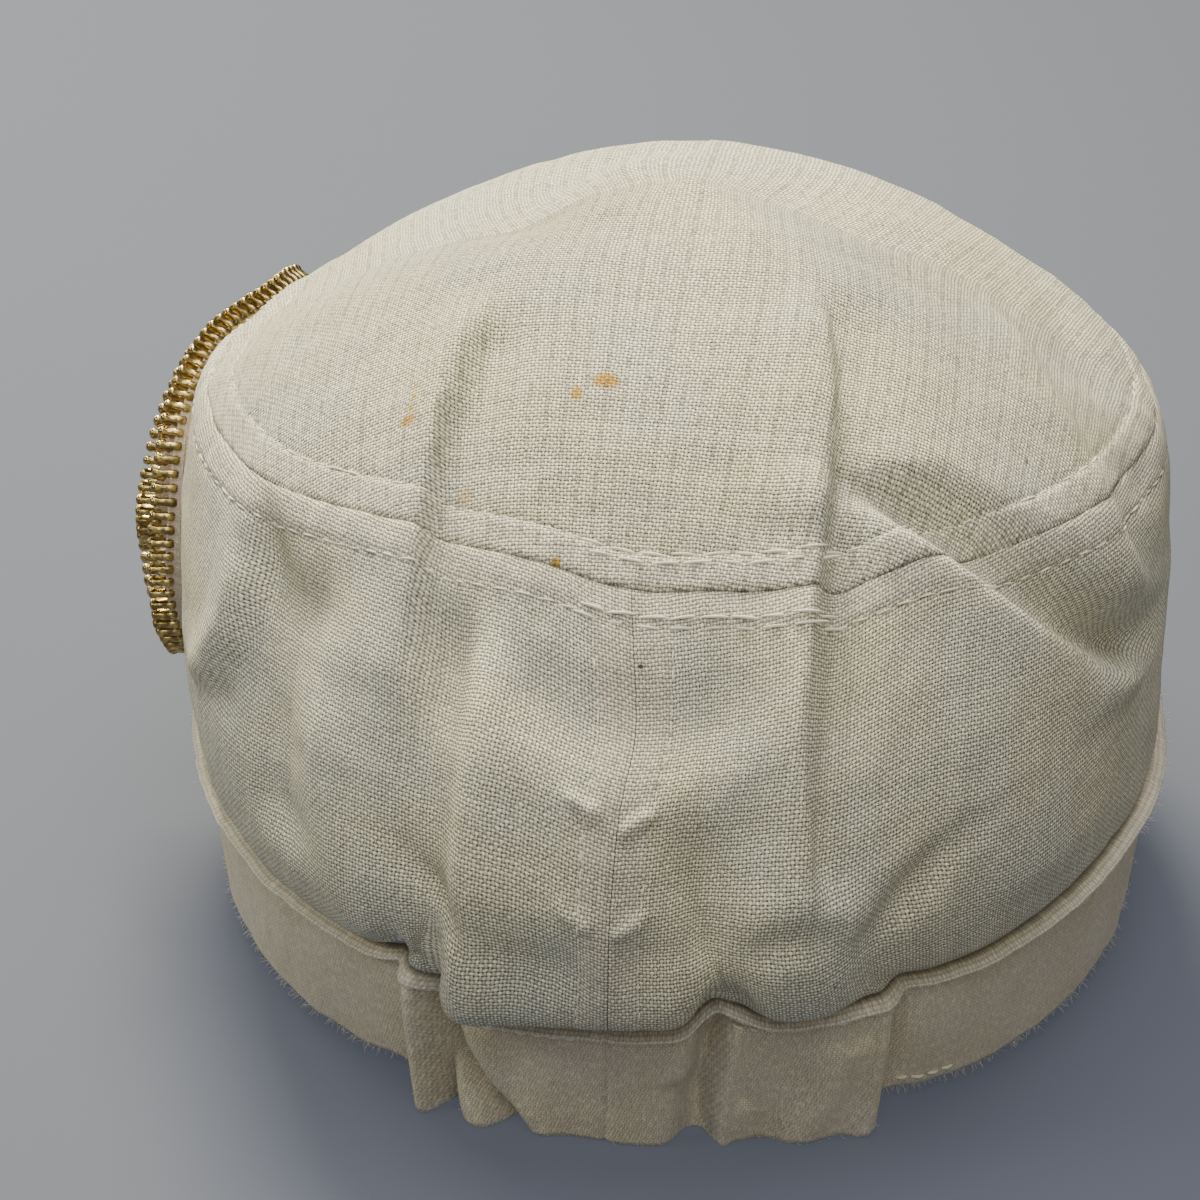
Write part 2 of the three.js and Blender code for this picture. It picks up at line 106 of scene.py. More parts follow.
# Cross sections of the crown.
SECTION_COLUMNS = ("v", "width", "back", "front", "z_back", "z_side", "z_front", "sway")
SECTIONS = (
    (0.0, 83.5, 91.5, 97.0, 29.0, 34.0, 41.5, 0.4),
    (0.1, 83.9, 98.8, 98.5, 34.5, 38.0, 46.0, 0.6),
    (0.25, 84.2, 105.0, 99.0, 44.5, 49.5, 52.5, 1.2),
    (0.6, 84.3, 96.5, 95.5, 71.5, 71.5, 69.0, 2.0),
    (1.0, 80.0, 70.5, 82.0, 96.3, 95.0, 87.0, 2.2),
    (1.35, 62.0, 45.5, 66.0, 112.5, 110.5, 107.0, 2.2),
    (1.7, 33.0, 13.0, 41.0, 123.0, 123.8, 122.5, 2.2),
    (2.0, 0.0, -15.0, 15.0, 126.8, 126.8, 126.8, 2.2),
)

# Gathers of the elastic back: out and foot push the band outwards at its top and its hem, rise
# moves the band seam up, and hem is the height of the hem.
GATHER_COLUMNS = ("phi", "out", "foot", "rise", "hem")
GATHERS = (
    (-60, 0, 0, 0, 4),
    (-34, 0, 0, 0.8, 4),
    (-26, 0, -0.5, 2.2, 4),
    (-25, -1, -0.8, 2.4, 3),
    (-23.5, 2.4, 2, 2.2, 0),
    (-22, 3, 3, 1.6, 0),
    (-21, 1.6, 1.6, 0.4, 0),
    (-20, -1.4, -1, -1.2, 0),
    (-18, -0.4, 1.6, -3, 0),
    (-15.5, 0.6, 2.6, -3, 0),
    (-13, 0.9, 1.2, -2.8, 0),
    (-12, 0.9, 0.7, -2.6, 0),
    (-10, 0.9, 1.4, -2.4, 0),
    (-4, 1, 1.6, -1.6, 0),
    (4, 1, 1.6, -1, 0),
    (8, 0.6, 0.8, 0, 0),
    (9.6, -1, -1.8, 1.6, 0),
    (11, -0.8, -1.2, 3.2, 0),
    (12, 0.8, 0.6, 3.6, 0),
    (13.5, 0.4, 0, 2.6, 0),
    (16, 1.2, 1.6, 0.8, 0),
    (22, 2, 2.5, 0.2, 0),
    (27, 2.2, 2.5, 0.8, 0),
    (29, 2.4, 2.4, 1, 0.7),
    (30.6, 0.8, 0.6, 1, 2.3),
    (32, -0.6, -0.6, 0.8, 3.8),
    (36, 0, 0, 0.4, 4),
    (60, 0, 0, 0, 4),
)

# Creases and folds of the crown: name, three places (v, phi), width and depth. A crease stands
# proud on its lower-phi side and sinks beyond it. A fold is a ridge where its depth is positive
# and a valley where it is negative.
CREASES = (
    ("pressed crease", (0.7, 1.06, 1.6), (21.8, 21.8, 36), 9, 2.2),
    ("pressed flank", (0.4, 0.7, 1.2), (22.2, 21.8, 23.5), 5, 2.2),
    ("pressed edge", (0.46, 1.04, 1.58), (22.2, 21.8, 35), 2.2, 1.2),
    ("left crease", (0.7, 1.05, 1.5), (-21.5, -24.5, -34), 8, 3),
    ("left edge", (0.84, 1.05, 1.3), (-23.5, -24.7, -30), 2.2, 1.4),
    ("panel flank", (0.04, 0.45, 0.88), (-19.5, -16.6, -17), 10, -4.6),
    ("shoulder crease", (0.5, 0.83, 1.2), (72, 49.5, 26), 7.5, 3.6),
    ("shoulder edge", (0.66, 0.86, 1.12), (61, 46.5, 30), 2.4, 0.8),
    ("shoulder ridge", (0.7, 1.02, 1.45), (73, 66, 80), 9, 1.8),
    ("left ridge", (0.42, 0.66, 0.93), (-59, -50.5, -50), 7, 2.7),
)
FOLDS = (
    ("right notch", (0.04, 0.28, 0.56), (12.5, 13, 8.5), 4.5, -2.6),
    ("right lobe", (0.03, 0.2, 0.4), (21, 21.5, 23), 8, 1.8),
    ("lobe end", (0.04, 0.27, 0.44), (30, 30, 36.5), 4, -2.2),
    ("shoulder valley", (0.56, 0.86, 1.16), (71, 50, 33), 6.5, -3),
    ("shoulder swell", (0.72, 1.04, 1.26), (72, 47, 32), 7, 1),
    ("shoulder dent", (0.9, 1.12, 1.35), (76, 79, 92), 7, -1.8),
    ("left hollow", (0.3, 0.56, 0.8), (-41, -43, -42), 9, -3.6),
    ("left tuck", (0.34, 0.38, 0.44), (-15, -19, -24.5), 3.5, -1.4),
    ("seam hollow", (0.8, 0.84, 0.87), (-7, -14, -21), 5, -2.2),
    ("upper hollow", (0.78, 0.77, 0.79), (-9, 2, 16), 6.5, -2.9),
    ("left seam hollow", (0.83, 0.82, 0.82), (-51, -43, -34), 5, -2.6),
    ("bottom roll left", (0.16, 0.14, 0.15), (-17, -9, -1), 6, 1.6),
    ("bottom roll right", (0.16, 0.14, 0.17), (0, 5, 11), 5.5, 1.4),
    ("roll hollow", (0.31, 0.28, 0.27), (-15, -9, -2), 5.5, -2.4),
    ("roll hollow right", (0.28, 0.3, 0.33), (1, 7, 13), 5, -1.7),
    ("right slope", (0.34, 0.48, 0.62), (7, 12, 15), 7, -1.8),
    ("left slope", (1.02, 1.38, 1.8), (-100, -105, -110), 26, -4.2),
)

# Smaller folds, in the same form.
WRINKLES = (
    ("tuck shadow", (0.3, 0.35, 0.4), (-15, -18, -21), 2.2, -0.9),
    ("lobe dimple", (0.32, 0.335, 0.33), (15.5, 20, 25), 3.2, -1.5),
    ("lobe pillow", (0.4, 0.415, 0.37), (14.5, 20, 26), 3.2, 1),
    ("right dimple", (0.26, 0.34, 0.43), (27, 32, 36), 3.4, -1.3),
    ("notch crease", (0.1, 0.3, 0.5), (11.2, 11.6, 7.6), 1.6, -0.9),
    ("left drape", (0.15, 0.4, 0.62), (-30, -33, -36), 7, 1.1),
    ("low drape", (0.15, 0.32, 0.5), (-4, 1, 5), 9, -0.9),
    ("right drape", (0.2, 0.45, 0.72), (52, 47, 43), 9, 1.2),
    ("upper pucker left", (0.62, 0.605, 0.59), (-4.2, -2.6, -0.8), 1.3, 1.3),
    ("upper pucker right", (0.56, 0.58, 0.6), (1.6, 3.2, 5.2), 1.3, 1.3),
    ("lower pucker left", (0.415, 0.395, 0.38), (-4.5, -2.8, -1), 1.3, 1.2),
    ("lower pucker right", (0.37, 0.385, 0.405), (1.2, 3, 4.6), 1.3, 1.3),
)

# Folds of the headband: name, three places (u, phi), width and depth, and how far up it reaches.
BAND_FOLDS = (
    ("roll", (0.0, 0.5, 1.0), (-22.6, -23.6, -23.2), 3.0, 2.8),
    ("roll shadow", (0.0, 0.5, 1.0), (-20.6, -21.1, -20.8), 1.8, -3.4),
    ("second lobe", (0.0, 0.4, 0.8), (-16.5, -19.2, -19.9), 3.4, 2.2),
    ("slanting valley", (0.0, 0.45, 0.88), (-11.8, -17.2, -20.2), 2.3, -3.8),
    ("panel edge", (0.0, 0.45, 0.9), (-9.4, -13.4, -17.4), 2.6, 1.8),
    ("right valley", (0.0, 0.5, 1.0), (7.6, 9.2, 12), 2.5, -4.2),
    ("pocket", (0.05, 0.25, 0.55), (9.8, 8.9, 6.8), 2.6, -2.2),
    ("right ridge", (0.0, 0.5, 1.0), (11.2, 11.8, 13.4), 2.2, 2.4),
    ("hem ridge", (-0.3, 0.0, 0.34), (14, 14, 14), 1.5, 1.3),
    ("lobe hollow", (0.0, 0.5, 1.0), (17.5, 19, 20.6), 4.6, -2),
    ("lobe swell", (0.0, 0.4, 0.75), (19.5, 23.8, 26.5), 3.6, 1.6),
    ("lobe ridge", (0.0, 0.6, 1.0), (27.8, 29.4, 30), 2.2, 1.7),
    ("lobe shadow", (0.0, 0.6, 1.0), (31, 31.9, 32.2), 1.7, -2.2),
)

# How far the crown seam lies above its even course, and the centre seam to the right of its own.
SEAM_WANDER = (
    (-90, 0), (-65, -0.6), (-47, -0.8), (-35, 0.8), (-26, 1.6), (-17.5, 2.1), (-9, 2.0), (-3.5, 0.9),
    (0.5, 0.4), (8, 0.4), (15.5, -0.4), (22.5, -1.2), (35.5, 0.3), (41.5, -0.3), (64, 0.3), (90, 0),
)
CENTRE_DRIFT = ((0, -0.6), (0.18, 0.4), (0.45, 1.0), (0.6, 1.4), (0.75, 2.2), (0.91, 1.0), (1.0, 0.2))

# Zipper loops: stations of the teeth's tips on the crown, and how far the tips stand off it.
OUTER_LOOP = (
    (-86, 0.14, 6.2), (-81, 0.28, 6.6), (-80, 0.54, 6.0), (-84, 0.8, 5.4), (-95, 0.95, 4.2),
    (-110, 1.0, 3.0), (-119, 0.92, 4.6), (-117, 0.78, 8.4), (-111, 0.6, 14.2), (-101, 0.36, 17.6),
    (-94, 0.21, 13.8),
)
INNER_LOOP = (
    (-91, 0.36, 11.5), (-87.5, 0.5, 10), (-88.5, 0.68, 8.5), (-97, 0.84, 6.5), (-103, 0.78, 8),
    (-101, 0.6, 11), (-96, 0.44, 12.5),
)
TOOTH = {"height": 4.6, "width": 3.0, "length": 1.75, "tape_gap": 0.36}
# Rings of a tooth of unit size: height, width and length.
TOOTH_PROFILE = (
    (-0.5, 0.6, 0.6), (-0.42, 0.88, 0.94), (-0.1, 0.84, 0.84), (0.16, 0.74, 0.72), (0.27, 0.9, 0.92),
    (0.38, 0.92, 0.98), (0.47, 0.64, 0.7), (0.5, 0.34, 0.36),
)
# The tape: its wall, the step and the rows of its mesh, how far it ends under the tips as a share of
# the teeth's height, the height of its cloth map, the swell of its edge and its lighter shade.
TAPE = {"wall": 0.9, "step": 0.6, "rows": 12, "under": 0.7, "height": 10, "swell": 0.5, "lighter": 1.15}
LOOP_SAMPLES = 2000.0

# The photograph's camera, in the cap's coordinates: angles in degrees, lengths in mm, and the
# place of its optical axis in a frame of 1200 by 1200 pixels.
CAMERA = {
    "elevation": 29.4, "turn": 5.3, "roll": 1.9, "distance": 684.7, "target_z": 56.6,
    "focal_px": 3929.4, "axis_px": (685.9, 583.5), "frame_px": 1200.0, "sensor_mm": 36.0,
}

# Soft lamps round the cap: azimuth like phi and elevation in degrees, distance and size in mm,
# power in watts and colour. LAMP_AIM is the height in mm that they point at.
LAMPS = (
    ("key", 205, 50, 1100, 480, 29.0, (1.0, 0.93, 0.7)),
    ("sky", 0, 89, 1100, 900, 9.0, (1.0, 0.99, 0.94)),
    ("low window", 232, 18, 1100, 500, 5.0, (1.0, 0.97, 0.8)),
    ("left window", 300, 34, 1100, 320, 2.4, (1.0, 0.98, 0.86)),
    ("right window", 70, 25, 1100, 600, 0.7, (1.0, 0.86, 0.55)),
    ("front fill", 8, 46, 1100, 420, 2.2, (0.96, 0.98, 1.0)),
    ("low fill", 10, 12, 1100, 900, 0.8, (0.98, 0.98, 1.0)),
)
LAMP_AIM = 60.0
WORLD = {"colour": (0.92, 0.94, 0.96), "strength": 0.07}
# The floor: half its side in metres, how much lighter its clouds are, and its glow, painted light that lifts
# the floor and the cap's shadow on it.
FLOOR = {"reach": 6.0, "cloud": 1.12, "glow": (0.058, 0.064, 0.08)}

# Weave: how deep a thread dives, the edges of threads, holes and lines, and where the random
# numbers of the weft start.
THREAD_DIVE = 0.4
THREAD_EDGE = (0.1, 0.85)
HOLE_EDGE = (0.86, 0.34)
LINE_EDGE = (0.12, 0.03)
WEFT_START = 4000.5

# Cloth: tint of doubled linen, the stretch of floats and nap, wear at the hem, relief of small
# pieces in metres, and the step of the fine mesh rows beside the seams in mm.
DOUBLED_TINT = 0.85
FLOAT_SCALE = (1700.0, 620.0, 1.0)
NAP_SCALE = (2600.0, 900.0, 1.0)
HEM_WEAR = 0.35
FINE_RELIEF = 0.00005
FINE_STEP = 0.35

# Fields of the crumple: width and height of a cell in mm, share and seed.
LINEN_CRUMPLE = ((11.0, 9.0, 1.0, 3), (4.1, 3.7, 0.45, 5))
BAND_CRUMPLE = ((7.0, 14.0, 1.0, 31), (2.6, 5.0, 0.4, 37))

# Marks on the linen: place (phi, v), radius in mm, squeeze across, strength and colour.
TOP_MARKS = (
    ((-8.0, 1.42), 3.1, 1.35, 1.0, "stain"),
    ((-12.0, 1.385), 1.4, 0.7, 0.95, "stain"),
    ((-33.0, 1.22), 2.0, 1.2, 1.0, "stain"),
    ((-33.8, 1.25), 0.9, 0.8, 0.9, "stain"),
    ((-34.6, 1.275), 0.8, 0.8, 0.8, "stain"),
    ((-35.5, 1.3), 0.8, 0.8, 0.7, "stain"),
    ((-22.0, 1.11), 2.0, 1.0, 0.5, "stain"),
    ((-8.7, 1.006), 1.1, 0.8, 1.0, "stain"),
    ((-10.0, 1.08), 0.5, 0.8, 1.0, "shade"),
    ((-1.0, 1.435), 0.45, 1.0, 0.7, "shade"),
    ((13.5, 1.23), 0.5, 1.0, 0.8, "stain"),
    ((54.0, 1.16), 0.5, 0.5, 0.8, "shade"),
)
SIDE_MARKS = (
    # The first mark is a small slit beside the centre seam, its dark painted shade; the others are small dark
    # spots.
    ((0.7, 0.865), 0.8, 1.5, 1.0, "shade"),
    ((-18.0, 0.2), 0.5, 1.0, 0.7, "shade"),
    ((24.0, 0.2), 0.4, 1.0, 0.7, "shade"),
    ((-46.0, 0.95), 0.5, 1.0, 0.6, "shade"),
)

# Loose fibres: their height on the band with their number, their size in mm, and the height in
# mm under which they point upwards.
FIBRE_ROWS = ((0.0, 900), (0.955, 500), (0.5, 260))
FIBRE_SIZE = (1.1, 1.1, 1.1)
FIBRE_FLOOR = 2.4

# Rows of stitches: distance beyond the allowance, or height on the band, first and last angle, and
# on the crown the piece they join.
CROWN_ROWS = (
    (0.0, -180, -6, "crown_topstitching"),
    (0.0, 23, 180, "crown_topstitching"),
    (0.25, -7, 23.5, "crown_long_stitches"),
    (-1.35, -6, 22.5, "crown_long_stitches"),
)
BAND_ROWS = ((0.905, -180, 180), (0.868, -18.5, -4), (0.868, 12.5, 26), (0.09, 33, 41))

# The stitches of each piece, as shares of the usual length, thickness and pitch.
STITCHES = {
    "crown_topstitching": {"length": 1.15, "thickness": 0.9, "pitch": 1.0},
    "crown_long_stitches": {"length": 1.75, "thickness": 1.35, "pitch": 1.3},
    "centre_stitches": {"length": 0.7, "thickness": 0.6, "pitch": 0.8},
    "band_stitches": {"length": 0.8, "thickness": 1.4, "pitch": 0.75},
}

# Inputs of the tree that sets a row of pieces, with their kinds of socket.
ROW_INPUTS = (
    ("Geometry", "Geometry"), ("Piece", "Object"), ("Size", "Vector"), ("Size Wander", "Float"),
    ("Turn Wander", "Float"), ("Seed", "Int"), ("Material", "Material"),
)


def smooth(low, high, x):
    """Eased step from 0 at low to 1 at high."""
    t = np.clip((np.asarray(x, float) - low) / (high - low), 0.0, 1.0)
    return t * t * (3.0 - 2.0 * t)


def bell(x, width):
    """A rounded bump of height 1."""
    return np.exp(-((np.asarray(x, float) / width) ** 2))


def unit(vectors):
    """Vectors of length 1 in the same directions."""
    return vectors / np.linalg.norm(vectors, axis=-1, keepdims=True)


def cubic(xs, ys, x):
    """Values at x of a cubic through the points xs, ys."""
    xs, ys = np.asarray(xs, float), np.asarray(ys, float)
    spans = np.diff(xs)
    slopes = np.diff(ys) / spans
    inner = (slopes[:-1] * spans[1:] + slopes[1:] * spans[:-1]) / (spans[1:] + spans[:-1])
    tangents = np.concatenate((slopes[:1], inner, slopes[-1:]))
    place = np.clip(np.asarray(x, float), xs[0], xs[-1])
    i = np.clip(np.searchsorted(xs, place) - 1, 0, len(xs) - 2)
    span = spans[i]
    t = (place - xs[i]) / span
    start = ys[i] * (1 + 2 * t) * (1 - t) ** 2 + span * tangents[i] * t * (1 - t) ** 2
    end = ys[i + 1] * t * t * (3 - 2 * t) - span * tangents[i + 1] * t * t * (1 - t)
    return start + end


def section(name, v):
    """One column of the crown's sections at v."""
    rows = np.array(SECTIONS)
    return cubic(rows[:, 0], rows[:, SECTION_COLUMNS.index(name)], v)


def wrap(phi):
    """An angle between -180 and 180."""
    return phi - 360.0 * np.round(np.asarray(phi, float) / 360.0)


def gather(name, phi):
    """One column of the gathers at phi."""
    rows = np.array(GATHERS)
    return cubic(rows[:, 0], rows[:, GATHER_COLUMNS.index(name)], wrap(phi))


def outwards(phi):
    """Level direction away from the cap's axis."""
    a = np.radians(phi)
    return np.stack((-np.sin(a), np.cos(a), np.zeros_like(a)), -1)


def lattice_noise(x, y, seed):
    """Smooth random field between -1 and 1, one cell for each unit of x and y."""
    size = 97
    grid = np.random.default_rng(seed).uniform(-1.0, 1.0, (size, size))
    column, row = np.floor(x).astype(int), np.floor(y).astype(int)
    s, t = x - column, y - row
    s, t = s * s * (3 - 2 * s), t * t * (3 - 2 * t)
    near = grid[column % size, row % size] * (1 - s) + grid[(column + 1) % size, row % size] * s
    far = grid[column % size, (row + 1) % size] * (1 - s) + grid[(column + 1) % size, (row + 1) % size] * s
    return near * (1 - t) + far * t


def crumple(x, y, sizes, fields):
    """Small unevenness of a cloth at places on it, as the sum of its fields."""
    relief = sizes.relief / MM
    return sum(share * relief * lattice_noise(x / wide, y / high, seed) for wide, high, share, seed in fields)


def crown_base(phi, v):
    """The crown without folds."""
    phi, v = np.broadcast_arrays(np.asarray(phi, float), np.asarray(v, float))
    c, s = np.cos(np.radians(phi)), np.sin(np.radians(phi))
    round_sway = np.cos(np.radians(4 * phi)) * np.cos(np.radians(4 / 3 * phi))
    sag = -SAG_RISE * bell(v - 1, SAG_SPREAD) * round_sway * (np.abs(wrap(phi)) < SAG_ANGLE)
    x = -section("width", v) * s + section("sway", v)
    back, front = section("back", v), section("front", v)
    y = np.where(c > 0, back, front) * c
    closing = smooth(CLOSING_ROW, 2.0, v)
    y = y + closing * ((back - front) / 2 + (back + front) / 2 * c - y)
    z = section("z_side", v) * s * s + np.where(c > 0, section("z_back", v), section("z_front", v)) * c * c
    fade = 1 - smooth(0, GATHER_FADE, v)
    sag = sag * (1 - smooth(APEX_ROW, 2.0, v))
    point = np.stack((x, y, z + sag + gather("rise", phi) * fade), -1)
    return point + outwards(phi) * (gather("out", phi) * fade)[..., None]


def crown_normal(phi, v):
    """Outward direction of the crown without folds."""
    middle = np.minimum(v, APEX_ROW)
    across = crown_base(phi + STEP["phi"], middle) - crown_base(phi - STEP["phi"], middle)
    up = crown_base(phi, middle + STEP["v"]) - crown_base(phi, middle - STEP["v"])
    normal = unit(np.cross(across, up))
    straight_up = smooth(APEX_ROW, 2.0, v)[..., None]
    return unit(normal * (1 - straight_up) + np.array((0.0, 0.0, 1.0)) * straight_up)


def fold_height(fold, crease, phi, v):
    """Height of one fold or crease."""
    _, (v0, v1, v2), angles, width, depth = fold
    low, high = min(v0, v2), max(v0, v2)
    # A fold that runs level is followed along phi, and any other along v.
    if high - low < 2 * FOLD_END:
        angles, rows = zip(*sorted(zip(angles, (v0, v1, v2))))
        start, end = angles[0], angles[-1]
        reach = max((end - start) / 4, 0.8)
        path = cubic(angles, rows, phi)
        distance = (v - path) * SIDE_HEIGHT
        ends = smooth(start - reach, start + reach, phi) * (1 - smooth(end - reach, end + reach, phi))
        return depth * bell(distance, width) * ends

    def path(x):
        """Angle of the fold's middle line, a parabola through its three places."""
        a = angles[0] * (x - v1) * (x - v2) / ((v0 - v1) * (v0 - v2))
        b = angles[1] * (x - v0) * (x - v2) / ((v1 - v0) * (v1 - v2))
        c = angles[2] * (x - v0) * (x - v1) / ((v2 - v0) * (v2 - v1))
        return a + b + c

    radius = np.radians(section("width", v))
    slant = (path(v + STEP["v"]) - path(v - STEP["v"])) * radius / (2 * STEP["v"] * SIDE_HEIGHT)
    distance = (wrap(phi) - path(v)) * radius / np.hypot(1, slant)
    ends = smooth(v0 - FOLD_END, v0 + FOLD_END, v) * (1 - smooth(v2 - FOLD_END, v2 + FOLD_END, v))
    shape = bell(distance, width)
    if crease:
        shape = -np.tanh(3 * distance / width) * shape
    return depth * shape * ends


def folds_height(phi, v):
    """Height of all large folds and creases of the crown."""
    total = sum(fold_height(fold, False, phi, v) for fold in FOLDS)
    return total + sum(fold_height(fold, True, phi, v) for fold in CREASES)


def allowance_height(distance, along, allowance, pitch):
    """Profile across a topstitched seam: the sunk seam, the puffed allowance and the stitch row."""
    away = np.abs(distance)
    inside = 1 - smooth(allowance - 0.6, allowance + 0.6, away)
    puff = ALLOWANCE_PUFF * np.sin(np.pi * np.clip(away / allowance, 0, 1))
    sink = SEAM_SINK * bell(away, SEAM_SINK_WIDTH)
    holes = 0.65 + 0.35 * np.cos(2 * np.pi * along / pitch)
    row = STITCH_SINK * bell(away - allowance, STITCH_SINK_WIDTH) * holes
    return inside * (ALLOWANCE_RISE + puff) - sink - row


def doubled_share(distance, allowance):
    """1 where a place lies over a seam's allowance, at its distance from the seam, and 0 beyond."""
    return 1 - smooth(allowance - 0.7, allowance + 0.2, np.abs(distance))


def seam_puckers(distance, along, seed):
    """Small creases that run off a stitched seam."""
    fade = bell(distance, 9.0)
    fine = lattice_noise(along / 3.4, distance / 9.0 + 20, seed)
    wide = lattice_noise(along / 8.0, distance / 16.0 + 20, seed + 1)
    return fade * (0.16 * fine + 0.22 * wide)


def crown_place(phi, v):
    """Where a place of the sewn panels lies on the crown: its seams wander a little."""
    drift = cubic(*zip(*CENTRE_DRIFT), v)
    moved_phi = phi + drift * bell(phi, 14.0) * (1 - smooth(1.0, 1.2, v))
    rise = cubic(*zip(*SEAM_WANDER), wrap(phi))
    moved_v = v + rise / SIDE_HEIGHT * bell(v - 1, 0.16) * (1 - smooth(1.9, 2.0, v))
    return moved_phi, moved_v


def top_map(sheet):
    """Cloth map of the top panel: distance from its middle, straight grain."""
    reach = sheet["rise"][:, -1:] - sheet["rise"]
    angle = sheet["along"] / CENTRE_SEAM_RADIUS
    return np.stack((-reach * np.sin(angle), reach * np.cos(angle)), -1)


def side_map(sheet):
    """Cloth map of the side panels: length round the cap and height, the grain rising outwards."""
    return np.stack((-sheet["along"], sheet["rise"] - GRAIN_SLOPE * np.abs(sheet["along"])), -1)


def crown_sheet(phis, vs, sizes):
    """Points of the outer and inner face of a part of the crown, and the seam distances there."""
    phi, v = np.meshgrid(phis, vs, indexing="ij")
    place_phi, place_v = crown_place(phi, v)
    base = crown_base(place_phi, place_v)
    normal = crown_normal(place_phi, place_v)
    steps = np.linalg.norm(np.diff(base, axis=1), axis=-1)
    rise = np.concatenate((np.zeros((len(phis), 1)), np.cumsum(steps, axis=1)), axis=1)
    if vs[0] < 1:
        rise = rise - rise[:, -1:]
    along = np.radians(phi) * CENTRE_SEAM_RADIUS
    from_centre = np.radians(phi) * section("back", np.minimum(v, 1.0))
    allowance = sizes.allowance / MM
    pitch = sizes.stitch_pitch / MM
    folds = folds_height(place_phi, place_v)
    fine = sum(fold_height(fold, False, place_phi, place_v) for fold in WRINKLES)
    seam = allowance_height(rise, along, allowance, pitch) + seam_puckers(rise, along, 11)
    lip = np.exp(-np.abs(rise) / SEAM_LIP["width"])
    seam = seam + (SEAM_LIP["rise"] if vs[0] >= 1 else -SEAM_LIP["fall"]) * lip
    on_side = np.where(v < 1, 1.0, 0.0) * (np.abs(phi) < 90)
    centre = 0.6 * allowance_height(from_centre, rise, allowance, pitch)
    centre = (centre + 0.6 * seam_puckers(from_centre, rise, 23)) * on_side
    merge = smooth(allowance * 0.9, allowance * 1.2, np.abs(rise))
    sheet = {"rise": rise, "along": along, "from_centre": from_centre}
    cloth = top_map(sheet) if vs[0] >= 1 else side_map(sheet)
    uneven = crumple(cloth[..., 0], cloth[..., 1], sizes, LINEN_CRUMPLE)
    from_band = smooth(0, FOLD_START, place_v)
    tuck = BAND_TUCK["depth"] * np.exp(-place_v * SIDE_HEIGHT / BAND_TUCK["width"])
    height = (folds + fine + centre * merge) * from_band + seam + uneven - tuck
    outer = base + normal * height[..., None]
    inner = base + normal * (folds * from_band - CLOTH_WALL)[..., None]
    layers = doubled_share(rise, allowance)
    centre_layers = doubled_share(from_centre, allowance) * on_side * (1 - layers)
    return outer, inner, {**sheet, "cloth": cloth, "layers": layers, "centre_layers": centre_layers}


def hem_height(phi):
    """Height of the hem above the surface that the cap rests on."""
    rising = smooth(HEM["from"], HEM["to"], np.abs(wrap(phi)))
    return np.maximum(gather("hem", phi), 0) + HEM["front_rise"] * rising


def band_point(phi, u, lift):
    """Outer face of the headband, u from 0 at the hem to 1 at the band seam."""
    phi, u = np.broadcast_arrays(np.asarray(phi, float), np.asarray(u, float))
    c, s = np.cos(np.radians(phi)), np.sin(np.radians(phi))
    y = np.where(c > 0, HEM["back"], HEM["front"]) * c
    hem = np.stack((-HEM["half_width"] * s, y, hem_height(phi)), -1)
    hem = hem + outwards(phi) * gather("foot", phi)[..., None]
    seam = crown_base(phi, 0.0 * phi) - np.array((0.0, 0.0, SEAM_GAP))
    face = hem + (seam - hem) * u[..., None]
    return face + outwards(phi) * np.broadcast_to(lift, u.shape)[..., None]


def band_folds_height(phi, u):
    """Height of the headband's own folds, which die away under its seam."""
    total = 0.0
    for _, (u0, u1, u2), angles, width, depth in BAND_FOLDS:
        reach = 0.1
        path = cubic((u0, u1, u2), angles, u)
        slant = (angles[2] - angles[0]) * HEM["half_width"] * math.pi / 180 / ((u2 - u0) * BAND_HEIGHT)
        distance = np.radians(wrap(phi) - path) * HEM["half_width"] / math.hypot(1, slant)
        start = smooth(u0 - reach, u0, u) if u0 > 0 else 1.0
        end = 1 - smooth(u2 - reach, u2, u) if u2 < 1 else 1.0
        total = total + depth * bell(distance, width) * start * end
    return total * (1 - 0.75 * smooth(0.86, 0.95, u))


def edge_round(u):
    """How far the wall draws in at its two edges."""
    return EDGE["round"] * (1 - smooth(0, EDGE["share"], u) + smooth(1 - EDGE["share"], 1, u))


def band_outer(phi, u, sizes):
    """Outer face of the headband with its bead, its folds and its crumple."""
    bead = BEAD["rise"] * bell(u - BEAD["at"], BEAD["spread"])
    uneven = crumple(np.radians(phi) * CENTRE_SEAM_RADIUS, u * BAND_HEIGHT, sizes, BAND_CRUMPLE)
    seam = BAND_SEAM["depth"] * np.exp(-np.abs(phi + 1.6 - 0.8 * u) * 1.6 / BAND_SEAM["width"])
    sewn = BAND_STITCH["depth"] * bell((1 - u) * BAND_HEIGHT - BAND_STITCH["below"], BAND_STITCH["width"])
    lift = bead - edge_round(u) + uneven - seam - sewn
    return band_point(phi, u, lift + band_folds_height(phi, u))


def place_in_frame(points):
    """Cap coordinates in mm to the frame's metres."""
    return (np.asarray(points, float) + CAP_SHIFT) * MM


def grid_faces(columns, rows, start, turned):
    """Quads over a grid of columns and rows whose first point has the index start."""
    i, j = np.meshgrid(np.arange(columns - 1), np.arange(rows - 1), indexing="ij")
    a = (start + i * rows + j).ravel()
    faces = np.stack((a, a + rows, a + rows + 1, a + 1), -1)
    return faces[:, ::-1] if turned else faces


def rim_faces(columns, rows, row, start, other, turned):
    """Quads between one row of two grids."""
    i = np.arange(columns - 1)
    a = start + i * rows + row
    b = other + i * rows + row
    faces = np.stack((a, b, b + rows, a + rows), -1)
    return faces[:, ::-1] if turned else faces


